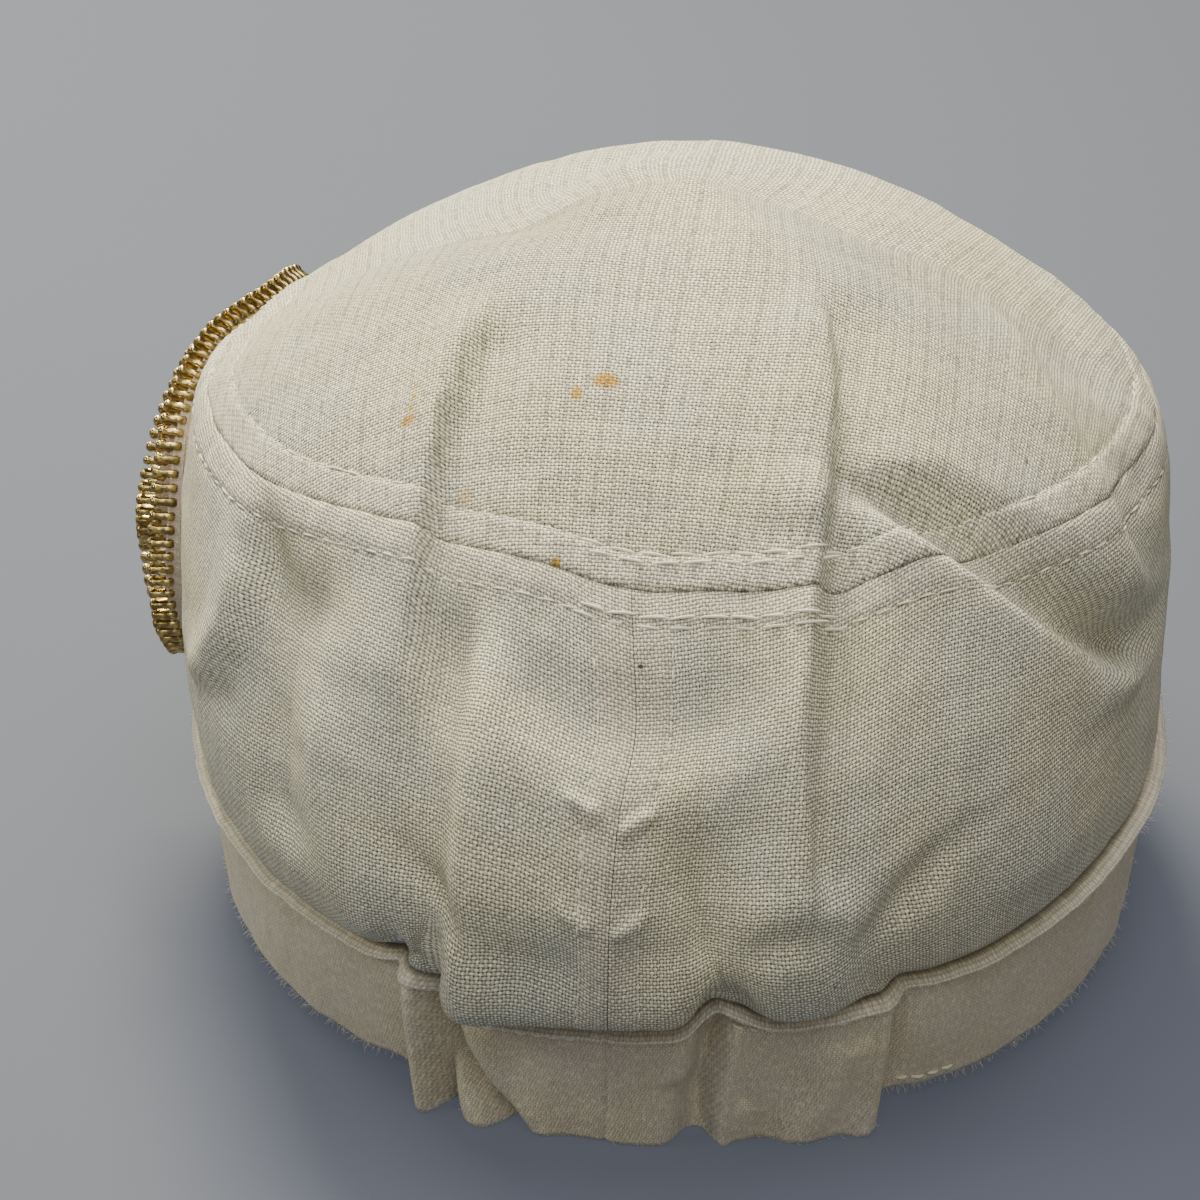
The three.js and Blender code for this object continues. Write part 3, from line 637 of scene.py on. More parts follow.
def end_faces(rows, column, start, other, turned):
    """Quads between one column of two grids."""
    j = np.arange(rows - 1)
    a = start + column * rows + j
    b = other + column * rows + j
    faces = np.stack((a, a + 1, b + 1, b), -1)
    return faces[:, ::-1] if turned else faces


def new_mesh(name, points, faces, uv, values):
    """A mesh object of points in cap coordinates, with a cloth map and named values per point."""
    mesh = bpy.data.meshes.new(name)
    mesh.from_pydata(place_in_frame(points).tolist(), [], [tuple(face) for face in faces])
    layer = mesh.uv_layers.new(name="cloth")
    corners = np.empty(len(mesh.loops), dtype=np.int64)
    mesh.loops.foreach_get("vertex_index", corners)
    layer.data.foreach_set("uv", (uv[corners] * MM).astype(np.float32).ravel())
    for key, column in values.items():
        layer = mesh.attributes.new(key, "FLOAT", "POINT")
        layer.data.foreach_set("value", column.astype(np.float32))
    thing = bpy.data.objects.new(name, mesh)
    bpy.context.scene.collection.objects.link(thing)
    return thing


def wall_object(name, outer, inner, uv, values, closed=False, apex=False):
    """A closed wall between two faces given on the same grid."""
    columns, rows = outer.shape[:2]
    count = columns * rows
    faces = [
        grid_faces(columns, rows, 0, False),
        grid_faces(columns, rows, count, True),
        rim_faces(columns, rows, 0, 0, count, False),
    ]
    if not apex:
        faces.append(rim_faces(columns, rows, rows - 1, 0, count, True))
    if not closed:
        faces.append(end_faces(rows, 0, 0, count, True))
        faces.append(end_faces(rows, columns - 1, 0, count, False))
    points = np.concatenate((outer.reshape(-1, 3), inner.reshape(-1, 3)))
    doubled = {key: np.concatenate((value.ravel(), value.ravel())) for key, value in values.items()}
    uv = np.concatenate((uv.reshape(-1, 2), uv.reshape(-1, 2)))
    thing = new_mesh(name, points, np.concatenate(faces).tolist(), uv, doubled)
    if closed or apex:
        merge_doubles(thing)
    thing.data.shade_smooth()
    return thing


def change_mesh(thing, change):
    """Lets a function change an object's mesh as a bmesh."""
    mesh = bmesh.new()
    mesh.from_mesh(thing.data)
    change(mesh)
    mesh.to_mesh(thing.data)
    mesh.free()


def merge_doubles(thing):
    """Joins the points that lie on each other."""
    near = MERGE_DISTANCE * MM
    change_mesh(thing, lambda mesh: bmesh.ops.remove_doubles(mesh, verts=mesh.verts, dist=near))


def face_outwards(thing):
    """Turns the faces of a closed mesh outwards."""
    change_mesh(thing, lambda mesh: bmesh.ops.recalc_face_normals(mesh, faces=mesh.faces))


def declare(thing, slot, material, *nodes):
    """Gives a finished piece its material and its body, and hides the nodes it stands for. Its slot is not
    used.
    """
    thing.data.materials.clear()
    thing.data.materials.append(material)
    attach(thing, "root")
    if nodes:
        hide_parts(*nodes)


def stations(stretches):
    """Places along stretches of (end, step), from the first value on."""
    places = [stretches[0][0]]
    for end, step in stretches[1:]:
        count = max(int(round((end - places[-1]) / step)), 1)
        first = places[-1]
        places.extend(first + (end - first) * (k + 1) / count for k in range(count))
    return np.array(places)


class Nodes:
    """Short calls that add nodes to one tree and join them."""

    def __init__(self, tree):
        self.tree = tree

    def add(self, kind, inputs=None, **settings):
        """A node of a kind, with its settings and its inputs as values or sockets."""
        node = self.tree.nodes.new(kind)
        for key, value in settings.items():
            setattr(node, key, value)
        for key, value in (inputs or {}).items():
            self.feed(node.inputs[key], value)
        return node

    def feed(self, socket, value):
        """Sets a socket to a value or joins it to another socket."""
        if isinstance(value, bpy.types.NodeSocket):
            self.tree.links.new(value, socket)
        else:
            socket.default_value = value

    def math(self, operation, *values):
        """Output of a Math node."""
        return self.add("ShaderNodeMath", dict(enumerate(values)), operation=operation).outputs[0]

    def times(self, a, b):
        """Product of two values."""
        return self.math("MULTIPLY", a, b)

    def sum(self, total, *values):
        """Sum of two or more values."""
        for value in values:
            total = self.math("ADD", total, value)
        return total

    def vector(self, operation, a, b=None, scale=None):
        """Output of a Vector Math node."""
        given = {0: a, 1: b, "Scale": scale}
        values = {key: value for key, value in given.items() if value is not None}
        node = self.add("ShaderNodeVectorMath", values, operation=operation)
        return node.outputs["Value"] if operation == "LENGTH" else node.outputs[0]

    def mix(self, factor, a, b, blend="MIX"):
        """Two colours mixed."""
        node = self.add("ShaderNodeMix", data_type="RGBA", blend_type=blend)
        for socket, value in ((0, factor), (6, a), (7, b)):
            self.feed(node.inputs[socket], value)
        return node.outputs[2]

    def darken(self, cloth, tone):
        """A colour times a tone."""
        grey = self.add("ShaderNodeCombineColor", {0: tone, 1: tone, 2: tone}).outputs[0]
        return self.mix(1.0, cloth, grey, blend="MULTIPLY")

    def ramp(self, value, low, high):
        """Eased step from 0 at low to 1 at high."""
        settings = {"Value": value, "From Min": low, "From Max": high}
        return self.add("ShaderNodeMapRange", settings, interpolation_type="SMOOTHSTEP").outputs[0]

    def noise(self, vector, scale, detail=2.0, roughness=0.5):
        """Factor of a Noise Texture."""
        settings = {"Vector": vector, "Scale": scale, "Detail": detail, "Roughness": roughness}
        return self.add("ShaderNodeTexNoise", settings).outputs[0]

    def bump(self, shader, strength, distance, height):
        """Gives a shader its relief."""
        settings = {"Strength": strength, "Distance": distance, "Height": height}
        self.feed(shader.inputs["Normal"], self.add("ShaderNodeBump", settings).outputs[0])


def colour(rgb):
    """A colour with full alpha."""
    return (*rgb, 1.0)


def new_group(name, vectors, numbers, outputs):
    """A shader group with vector inputs, number inputs with their defaults, and number outputs."""
    tree = bpy.data.node_groups.new(name, "ShaderNodeTree")
    for label in vectors:
        tree.interface.new_socket(name=label, in_out="INPUT", socket_type="NodeSocketVector")
    for label, default in numbers.items():
        socket = tree.interface.new_socket(name=label, in_out="INPUT", socket_type="NodeSocketFloat")
        socket.default_value = default
    for label in outputs:
        tree.interface.new_socket(name=label, in_out="OUTPUT", socket_type="NodeSocketFloat")
    nodes = Nodes(tree)
    return tree, nodes, nodes.add("NodeGroupInput").outputs, nodes.add("NodeGroupOutput").inputs


def plain_weave_group():
    """Plain weave: threads over and under each other, with holes between them."""
    if "plain weave" in bpy.data.node_groups:
        return bpy.data.node_groups["plain weave"]
    numbers = {"Warp Pitch": 0.0006, "Weft Pitch": 0.0006, "Wander": 0.25, "Check": 0.0}
    outputs = ("Height", "Holes", "Tone And Crest Highlight", "Lines")
    tree, nodes, start, end = new_group("plain weave", ("Place",), numbers, outputs)
    place = start["Place"]
    parts = nodes.add("ShaderNodeSeparateXYZ", {0: place}).outputs
    settings = {"Vector": place, "Scale": 400.0, "Detail": 3.0, "Roughness": 0.65}
    drift = nodes.add("ShaderNodeTexNoise", settings).outputs["Color"]
    jitter = nodes.add("ShaderNodeSeparateColor", {0: drift}).outputs

    def thread(way, pitch):
        """Count of threads along one direction, with some wander."""
        offset = nodes.times(nodes.math("SUBTRACT", jitter[way], 0.5), start["Wander"])
        return nodes.sum(nodes.math("DIVIDE", parts[way], start[pitch]), offset)

    def lines(threads, count):
        """Narrow lines, one in every count of threads."""
        turn = nodes.math("FRACT", nodes.math("DIVIDE", threads, count))
        return nodes.ramp(nodes.math("ABSOLUTE", nodes.math("SUBTRACT", turn, 0.5)), *LINE_EDGE)

    def row_chance(row):
        """Random number for each thread."""
        return nodes.add("ShaderNodeTexWhiteNoise", {"W": row}, noise_dimensions="1D").outputs["Value"]

    def chance(across, up):
        """Random number for each crossing or hole."""
        pair = nodes.add("ShaderNodeCombineXYZ", {0: across, 1: up}).outputs[0]
        return nodes.add("ShaderNodeTexWhiteNoise", {"Vector": pair}, noise_dimensions="3D").outputs["Value"]

    warp, weft = thread(0, "Warp Pitch"), thread(1, "Weft Pitch")
    warp_wave, weft_wave = (nodes.math("SINE", nodes.times(part, math.pi)) for part in (warp, weft))
    warp_body, weft_body = nodes.math("ABSOLUTE", warp_wave), nodes.math("ABSOLUTE", weft_wave)
    warp_side, weft_side = nodes.math("SIGN", warp_wave), nodes.math("SIGN", weft_wave)
    rest = 1.0 - THREAD_DIVE
    warp_lift = nodes.math("MULTIPLY_ADD", nodes.times(weft_wave, warp_side), THREAD_DIVE, rest)
    weft_lift = nodes.math("MULTIPLY_ADD", nodes.times(warp_wave, weft_side), -THREAD_DIVE, rest)
    warp_crest = nodes.times(nodes.ramp(warp_body, *THREAD_EDGE), warp_lift)
    weft_crest = nodes.times(nodes.ramp(weft_body, *THREAD_EDGE), weft_lift)
    height = nodes.math("MAXIMUM", warp_crest, weft_crest)
    weft_over = nodes.ramp(nodes.math("SUBTRACT", weft_crest, warp_crest), -0.1, 0.2)

    broken = nodes.ramp(nodes.noise(place, 520.0), 0.36, 0.6)
    pattern = nodes.math("MAXIMUM", lines(warp, 5.0), nodes.times(lines(weft, 6.0), 0.35))
    pattern = nodes.times(nodes.times(pattern, broken), start["Check"])

    gaps = nodes.times(nodes.ramp(warp_body, *HOLE_EDGE), nodes.ramp(weft_body, *HOLE_EDGE))
    corners = [nodes.math("FLOOR", nodes.sum(threads, 0.5)) for threads in (warp, weft)]
    depth = nodes.sum(nodes.times(nodes.ramp(chance(*corners), 0.05, 0.8), 0.75), 0.25, pattern)

    warp_row, weft_row = nodes.math("FLOOR", warp), nodes.math("FLOOR", weft)
    rows = nodes.sum(row_chance(warp_row), row_chance(nodes.sum(weft_row, WEFT_START)))
    # Random tone per thread, crossing and patch, plus a painted highlight: the crests of the threads are
    # lighter, most of all the weft where it lies over.
    tone = nodes.sum(
        nodes.times(rows, 0.1),
        nodes.times(nodes.noise(place, 900.0), 0.3),
        nodes.times(chance(warp_row, weft_row), 0.22),
        nodes.times(weft_over, 0.14),
        nodes.times(nodes.ramp(weft_crest, 0.6, 0.98), 0.3),
        nodes.times(nodes.ramp(height, 0.2, 0.9), 0.45),
        -0.04,
    )
    for name, value in zip(outputs, (height, nodes.times(gaps, depth), tone, pattern)):
        nodes.feed(end[name], value)
    return tree


def stain_group():
    """A round stain with a ragged edge."""
    if "stain" in bpy.data.node_groups:
        return bpy.data.node_groups["stain"]
    numbers = {"Radius": 0.001, "Stretch": 1.0}
    tree, nodes, start, end = new_group("stain", ("Place", "Centre"), numbers, ("Mask",))
    away = nodes.vector("SUBTRACT", start["Place"], start["Centre"])
    squeeze = nodes.add("ShaderNodeCombineXYZ", {0: 1.0, 1: start["Stretch"], 2: 0.0}).outputs[0]
    distance = nodes.vector("LENGTH", nodes.vector("MULTIPLY", away, squeeze))
    ragged = nodes.noise(start["Place"], 1400.0, 3.0, 0.7)
    radius = nodes.times(start["Radius"], nodes.sum(0.35, ragged))
    nodes.feed(end["Mask"], nodes.ramp(nodes.math("DIVIDE", distance, radius), 1.15, 0.45))
    return tree


def use_group(nodes, tree, inputs):
    """Outputs of a group node with its inputs set."""
    node = nodes.add("ShaderNodeGroup")
    node.node_tree = tree
    for key, value in inputs.items():
        nodes.feed(node.inputs[key], value)
    return node.outputs


def use_weave(nodes, place, warp, weft, wander, check):
    """Outputs of the plain weave with its pitches, its wander and the strength of its check."""
    return use_group(nodes, plain_weave_group(), {
        "Place": place, "Warp Pitch": warp, "Weft Pitch": weft, "Wander": wander, "Check": check,
    })


def new_material(name):
    """An empty material with its node helper and its shader, joined to the output."""
    material = bpy.data.materials.new(name)
    material.use_nodes = True
    material.node_tree.nodes.clear()
    nodes = Nodes(material.node_tree)
    shader = nodes.add("ShaderNodeBsdfPrincipled")
    nodes.add("ShaderNodeOutputMaterial", {"Surface": shader.outputs[0]})
    return material, nodes, shader


def cloth_map(nodes):
    """Place on the cloth map of a piece."""
    return nodes.add("ShaderNodeUVMap", uv_map="cloth").outputs[0]


def object_place(nodes):
    """Place in the frame, for what has no cloth map."""
    return nodes.add("ShaderNodeTexCoord").outputs["Object"]


def attribute(nodes, name):
    """A named value of the mesh."""
    return nodes.add("ShaderNodeAttribute", attribute_name=name).outputs["Fac"]


def set_cloth(shader, roughness, sheen, sheen_roughness=0.5):
    """Sets what is the same all over a cloth."""
    shader.inputs["Roughness"].default_value = roughness
    shader.inputs["Sheen Weight"].default_value = sheen
    shader.inputs["Sheen Roughness"].default_value = sheen_roughness


def linen_material(name, sizes, colours, check, marks):
    """Open-weave linen: threads and holes, doubled where the seam allowances lie under it."""
    material, nodes, shader = new_material(name)
    place = cloth_map(nodes)
    weave = use_weave(nodes, place, sizes.linen_warp, sizes.linen_weft, 1.3, check)
    layers, centre_layers = attribute(nodes, "layers"), attribute(nodes, "centre_layers")
    patches = nodes.ramp(nodes.noise(place, 30.0, 3.0), 0.36, 0.64)
    cloth = nodes.mix(patches, colour(colours.linen), colour(colours.linen_cool))
    cloth = nodes.mix(nodes.times(layers, DOUBLED_TINT), cloth, colour(colours.linen_double))
    cloth = nodes.mix(nodes.times(centre_layers, DOUBLED_TINT), cloth, colour(colours.linen_centre))
    # The weave's tone carries painted highlights on the thread crests.
    cloth = nodes.darken(cloth, weave["Tone And Crest Highlight"])
    for centre, radius, stretch, strength, shade in marks:
        mask = use_group(nodes, stain_group(), {
            "Place": place, "Centre": (centre[0] * MM, centre[1] * MM, 0.0), "Radius": radius * MM,
            "Stretch": stretch,
        })["Mask"]
        cloth = nodes.mix(nodes.times(mask, strength), cloth, colour(getattr(colours, shade)))
    # Painted shade: the holes between the threads take the dark of the cap's shaded inside, less dark where a
    # second layer of cloth lies under them.
    doubled = nodes.math("MAXIMUM", layers, centre_layers)
    open_share = nodes.math("SUBTRACT", 0.95, nodes.times(doubled, 0.5))
    cloth = nodes.mix(nodes.times(weave["Holes"], open_share), cloth, colour(colours.shade))
    cloth = nodes.mix(nodes.times(weave["Lines"], 0.45), cloth, colour(colours.shade))
    nodes.feed(shader.inputs["Base Color"], cloth)
    height = nodes.sum(weave["Height"], nodes.times(nodes.noise(place, 5200.0), 0.35))
    height = nodes.math("SUBTRACT", height, nodes.times(weave["Lines"], 0.35))
    nodes.bump(shader, 0.9, 0.35 * MM, height)
    set_cloth(shader, 0.93, 0.15)
    return material


def twill_material(name, sizes, base, worn, wear_and_highlight):
    """Fine brushed twill: steep ribs of short floats under a nap."""
    material, nodes, shader = new_material(name)
    place = cloth_map(nodes)
    weave = use_weave(nodes, place, sizes.twill_warp, sizes.twill_weft, 0.5, 0.0)
    parts = nodes.add("ShaderNodeSeparateXYZ", {0: place}).outputs
    slope = nodes.sum(parts[0], nodes.times(parts[1], 0.4))
    sway = nodes.times(nodes.noise(place, 260.0), 0.9 * MM)
    turn = nodes.times(nodes.sum(slope, sway), 2 * math.pi / sizes.twill_rib)
    ribs = nodes.times(nodes.math("SINE", turn), 0.5)
    floats = nodes.noise(nodes.vector("MULTIPLY", place, FLOAT_SCALE), 1.0)
    floats = nodes.ramp(floats, 0.42, 0.72)
    patches = nodes.ramp(nodes.noise(place, 55.0, 4.0), 0.3, 0.7)
    cloth = nodes.mix(patches, colour(base), colour(worn))
    # Painted highlight along the bead, and wear at the hem.
    cloth = nodes.mix(attribute(nodes, "wear_and_highlight"), cloth, colour(wear_and_highlight))
    # The weave's tone brings its painted highlights on the thread crests here too.
    tone = nodes.sum(0.38, nodes.times(weave["Tone And Crest Highlight"], 0.45), nodes.times(ribs, 0.16),
                     nodes.times(floats, 0.2))
    nodes.feed(shader.inputs["Base Color"], nodes.darken(cloth, tone))
    nap = nodes.noise(nodes.vector("MULTIPLY", place, NAP_SCALE), 1.0, 3.0)
    height = nodes.sum(nodes.times(weave["Height"], 0.5), nap, nodes.sum(nodes.times(ribs, 0.5), floats))
    nodes.bump(shader, 0.7, 0.13 * MM, height)
    set_cloth(shader, 0.88, 0.3, 0.4)
    return material


def brass_material(colours):
    """Polished brass, darker and rougher in random patches."""
    material, nodes, shader = new_material("brass")
    place = object_place(nodes)
    wear = nodes.ramp(nodes.noise(place, 700.0, 3.0), 0.35, 0.7)
    tint = nodes.mix(wear, colour(colours.brass), colour(colours.brass_dark))
    nodes.feed(shader.inputs["Base Color"], tint)
    nodes.feed(shader.inputs["Roughness"], nodes.sum(0.2, nodes.times(wear, 0.2)))
    nodes.bump(shader, 0.3, FINE_RELIEF, nodes.noise(place, 2500.0))
    shader.inputs["Metallic"].default_value = 1.0
    return material


def thread_material(colours):
    """Sewing thread with a faint twist."""
    material, nodes, shader = new_material("thread")
    twist = nodes.noise(object_place(nodes), 3000.0, 1.0)
    nodes.feed(shader.inputs["Base Color"], nodes.mix(twist, colour(colours.thread), colour(colours.twill)))
    nodes.bump(shader, 0.5, FINE_RELIEF, twist)
    set_cloth(shader, 0.7, 0.2)
    return material


def row_tree():
    """Geometry Nodes tree that sets one small piece at each point of a row."""
    if "row of pieces" in bpy.data.node_groups:
        return bpy.data.node_groups["row of pieces"]
    tree = bpy.data.node_groups.new("row of pieces", "GeometryNodeTree")
    for label, kind in ROW_INPUTS:
        tree.interface.new_socket(name=label, in_out="INPUT", socket_type="NodeSocket" + kind)
    tree.interface.new_socket(name="Geometry", in_out="OUTPUT", socket_type="NodeSocketGeometry")
    nodes = Nodes(tree)
    start = nodes.add("NodeGroupInput").outputs

    def stored(name):
        """A direction stored on the points."""
        kind = "GeometryNodeInputNamedAttribute"
        return nodes.add(kind, {"Name": name}, data_type="FLOAT_VECTOR").outputs["Attribute"]

    def chance(low, high, seed):
        """Random number for each point."""
        limits = {2: low, 3: high, "Seed": seed}
        return nodes.add("FunctionNodeRandomValue", limits, data_type="FLOAT").outputs[1]

    axes = nodes.add("FunctionNodeAxesToRotation", {
        "Primary Axis": stored("up"), "Secondary Axis": stored("ahead"),
    }, primary_axis="Z", secondary_axis="X")
    turn = chance(nodes.times(start["Turn Wander"], -1.0), start["Turn Wander"], start["Seed"])
    euler = nodes.add("ShaderNodeCombineXYZ", {2: turn})
    local = nodes.add("FunctionNodeEulerToRotation", {0: euler.outputs[0]})
    rotation = nodes.add("FunctionNodeRotateRotation", {0: axes.outputs[0], 1: local.outputs[0]},
                         rotation_space="LOCAL")
    wander = start["Size Wander"]
    least, most = nodes.math("SUBTRACT", 1.0, wander), nodes.sum(1.0, wander)
    spread = chance(least, most, nodes.sum(start["Seed"], 1.0))
    piece = nodes.add("GeometryNodeObjectInfo", {"Object": start["Piece"]})
    instances = nodes.add("GeometryNodeInstanceOnPoints", {
        "Points": start["Geometry"], "Instance": piece.outputs["Geometry"], "Rotation": rotation.outputs[0],
        "Scale": nodes.vector("SCALE", start["Size"], scale=spread),
    })
    real = nodes.add("GeometryNodeRealizeInstances", {0: instances.outputs[0]})
    finished = nodes.add("GeometryNodeSetMaterial", {
        "Geometry": real.outputs[0], "Material": start["Material"],
    })
    nodes.add("NodeGroupOutput", {0: finished.outputs[0]})
    return tree


def set_row(name, points, ahead, up, small_piece, size, wander, turn, seed, material):
    """One plain mesh with a small piece at each point, turned by its two directions."""
    mesh = bpy.data.meshes.new(name + "_points")
    mesh.from_pydata(place_in_frame(points).tolist(), [], [])
    for key, column in (("ahead", ahead), ("up", up)):
        layer = mesh.attributes.new(key, "FLOAT_VECTOR", "POINT")
        layer.data.foreach_set("vector", np.asarray(column, np.float32).ravel())
    row = bpy.data.objects.new(name + "_points", mesh)
    bpy.context.scene.collection.objects.link(row)
    modifier = row.modifiers.new("row", "NODES")
    tree = row_tree()
    modifier.node_group = tree
    values = {
        "Piece": small_piece, "Size": tuple(side * MM for side in size), "Size Wander": wander,
        "Turn Wander": turn, "Seed": seed, "Material": material,
    }
    for item in tree.interface.items_tree:
        if item.in_out == "INPUT" and item.name in values:
            modifier[item.identifier] = values[item.name]
    bpy.context.view_layer.update()
    evaluated = row.evaluated_get(bpy.context.evaluated_depsgraph_get())
    result = bpy.data.meshes.new_from_object(evaluated)
    row.modifiers.remove(modifier)
    bpy.data.objects.remove(row)
    bpy.data.meshes.remove(mesh)
    thing = bpy.data.objects.new(name, result)
    result.name = name
    bpy.context.scene.collection.objects.link(thing)
    result.shade_smooth()
    return thing


def unit_piece(name, rings):
    """A hidden object of unit size for the rows: closed rings of points under one skin."""
    mesh = bmesh.new()
    rings = [[mesh.verts.new(point) for point in ring] for ring in rings]
    sides = len(rings[0])
    for a, b in zip(rings, rings[1:]):
        for side in range(sides):
            other = (side + 1) % sides
            mesh.faces.new((a[side], a[other], b[other], b[side]))
    mesh.faces.new(rings[0])
    mesh.faces.new(reversed(rings[-1]))
    bmesh.ops.recalc_face_normals(mesh, faces=mesh.faces)
    data = bpy.data.meshes.new(name)
    mesh.to_mesh(data)
    mesh.free()
    return bpy.data.objects.new(name, data)


def stitch_rings():
    """Rings of a thread that arches out of the cloth and dives back in, one unit long."""
    sides, steps = 6, 6
    rings = []
    for k in range(steps + 1):
        t = k / steps
        thick = 0.5 * (0.55 + 0.45 * math.sin(math.pi * t))
        lift = 0.9 * math.sin(math.pi * t) ** 0.6 - 0.55
        angles = [2 * math.pi * side / sides for side in range(sides)]
        rings.append([(t - 0.5, thick * math.cos(a), lift + thick * math.sin(a)) for a in angles])
    return rings


def fibre_rings():
    """Rings of a thin bent fibre that starts in the cloth, one unit long."""
    corners = ((-0.05, -0.03), (0.05, -0.03), (0.0, 0.05))
    rings = []
    for k in range(5):
        t = k / 4
        thick = 0.5 * (1 - 0.6 * t)
        middle = Vector((0.35 * math.sin(2.2 * t), 0.2 * t * t, t))
        rings.append([middle + Vector((x * thick, y * thick, 0)) for x, y in corners])
    return rings


def tooth_rings():
    """Rings of a zipper tooth of unit size: a rounded bar with a nose and a waist."""
    sides, squareness = 8, 0.6
    rings = []
    for z, width, long in TOOTH_PROFILE:
        ring = []
        for side in range(sides):
            angle = 2 * math.pi * (side + 0.5) / sides
            x = math.copysign(abs(math.cos(angle)) ** squareness, math.cos(angle)) * 0.5 * long
            y = math.copysign(abs(math.sin(angle)) ** squareness, math.sin(angle)) * 0.5 * width
            ring.append((x, y, z))
        rings.append(ring)
    return rings


def line_lengths(points):
    """Length along a line of points, from 0 at its start."""
    return np.concatenate(([0.0], np.cumsum(np.linalg.norm(np.diff(points, axis=0), axis=1))))


def read_at(table, places):
    """Rows of a table read at places between them."""
    index = np.arange(len(table))
    return np.stack([np.interp(places, index, column) for column in table.T], -1)


def along_line(points, ups, pitch):
    """Points at a pitch along a line, with the directions ahead and up there."""
    lengths = line_lengths(points)
    count = max(int(lengths[-1] / pitch), 1)
    at = np.interp((np.arange(count) + 0.5) * lengths[-1] / count, lengths, np.arange(len(points)))
    ahead = read_at(points, at + 0.5) - read_at(points, at - 0.5)
    return read_at(points, at), unit(ahead), unit(read_at(ups, at))


def loop_curve(loop, pitch):
    """Even frames round a zipper loop: the teeth's tip, normal, side, ahead and stand-off."""
    rows = np.array(loop, float)
    n = len(rows)
    t = np.arange(0, n, n / LOOP_SAMPLES)
    i = np.floor(t).astype(int)
    f = (t - i)[:, None]
    a, b, c, d = (rows[(i + k) % n] for k in (-1, 0, 1, 2))
    values = b + 0.5 * f * ((c - a) + f * ((2 * a - 5 * b + 4 * c - d) + f * (3 * b - a - 3 * c + d)))
    phi, v, stand = values.T
    normal = crown_normal(phi, v)
    tip = crown_base(phi, v) + normal * (folds_height(phi, v) + stand)[:, None]
    table = np.concatenate((tip, normal, stand[:, None]), axis=1)
    table = np.concatenate((table, table[:1]))
    lengths = line_lengths(table[:, :3])
    count = int(round(lengths[-1] / pitch))
    there = read_at(table, np.interp(np.arange(count) * lengths[-1] / count, lengths, np.arange(len(table))))
    tip, normal, stand = there[:, :3], there[:, 3:6], there[:, 6:]
    ahead = unit(np.roll(tip, -1, axis=0) - np.roll(tip, 1, axis=0))
    return tip, normal, unit(np.cross(ahead, normal)), ahead, stand


def length(name, description, default):
    """A length that a user would change, in metres."""
    return FloatProperty(name=name, description=description, default=default, unit="LENGTH")


def tint(name, description, default):
    """A colour that a user would change."""
    return FloatVectorProperty(name=name, description=description, default=default, subtype="COLOR")


class CapSizes(bpy.types.PropertyGroup):
    """Sizes that a user would change."""

    allowance: length("Seam Allowance", "Distance of the topstitching from its seam", 0.0059)
    stitch_pitch: length("Stitch Pitch", "Distance from one stitch to the next", 0.0036)
    stitch_length: length("Stitch Length", "Visible length of one stitch", 0.0029)
    thread_width: length("Thread Width", "Thickness of the sewing thread", 0.00042)
    linen_warp: length("Linen Warp Pitch", "Distance between the linen's warp threads", 0.00062)
    linen_weft: length("Linen Weft Pitch", "Distance between the linen's weft threads", 0.00064)
    twill_warp: length("Twill Warp Pitch", "Distance between the twill's warp threads", 0.00045)
    twill_weft: length("Twill Weft Pitch", "Distance between the twill's weft threads", 0.0004)
    twill_rib: length("Twill Rib Pitch", "Distance between the twill's ribs", 0.00066)
    relief: length("Crumple", "Height of the cloth's small unevenness", 0.0003)
    tooth_pitch: length("Tooth Pitch", "Distance from one zipper tooth to the next", 0.0024)
    cloth_step: length("Cloth Step", "Distance between the points of the cloth meshes at the back", 0.0009)
    seed: IntProperty(name="Seed", description="Seed of everything that is random", default=7)


class CapColours(bpy.types.PropertyGroup):
    """Colours that a user would change."""

    linen: tint("Linen", "The linen where it is warm", (0.945, 0.88, 0.61))
    linen_cool: tint("Cool Linen", "The linen where it is paler", (0.895, 0.865, 0.68))
    linen_double: tint("Doubled Linen", "The linen over its seam allowances", (0.95, 0.89, 0.68))
    linen_centre: tint("Centre Seam Linen", "The linen over the centre seam's allowances", (0.9, 0.825, 0.62))
    # Painted shade: the dark of the cap's inside seen through the weave's holes. The same dark also draws the
    # top's check lines and the small dark marks.
    shade: tint("Holes", "The dark between the threads", (0.1, 0.08, 0.05))
    twill: tint("Twill", "The headband's cloth", (0.82, 0.715, 0.49))
    twill_worn: tint("Worn Twill", "The headband's cloth where it is worn", (0.9, 0.805, 0.6))
    # Painted highlight along the bead, and wear at the hem.
    twill_wear_and_highlight: tint("Rubbed Twill", "The headband's cloth along its bead", (1.0, 0.92, 0.74))
    tape: tint("Tape", "The zipper's tape", (0.9, 0.74, 0.57))
    brass: tint("Brass", "The zipper's teeth", (0.6, 0.45, 0.18))
    brass_dark: tint("Dark Brass", "The teeth where they are tarnished", (0.2, 0.145, 0.055))
    thread: tint("Thread", "The sewing thread", (1.0, 0.96, 0.84))
    stain: tint("Stain", "The ochre stains on the crown", (0.62, 0.35, 0.05))
    floor: tint("Floor", "The floor under the cap", (0.066, 0.074, 0.1))


def direction(azimuth, elevation):
    """Direction away from the cap at an azimuth like phi and an elevation, both in degrees."""
    a, e = math.radians(azimuth), math.radians(elevation)
    return Vector((-math.sin(a) * math.cos(e), math.cos(a) * math.cos(e), math.sin(e)))


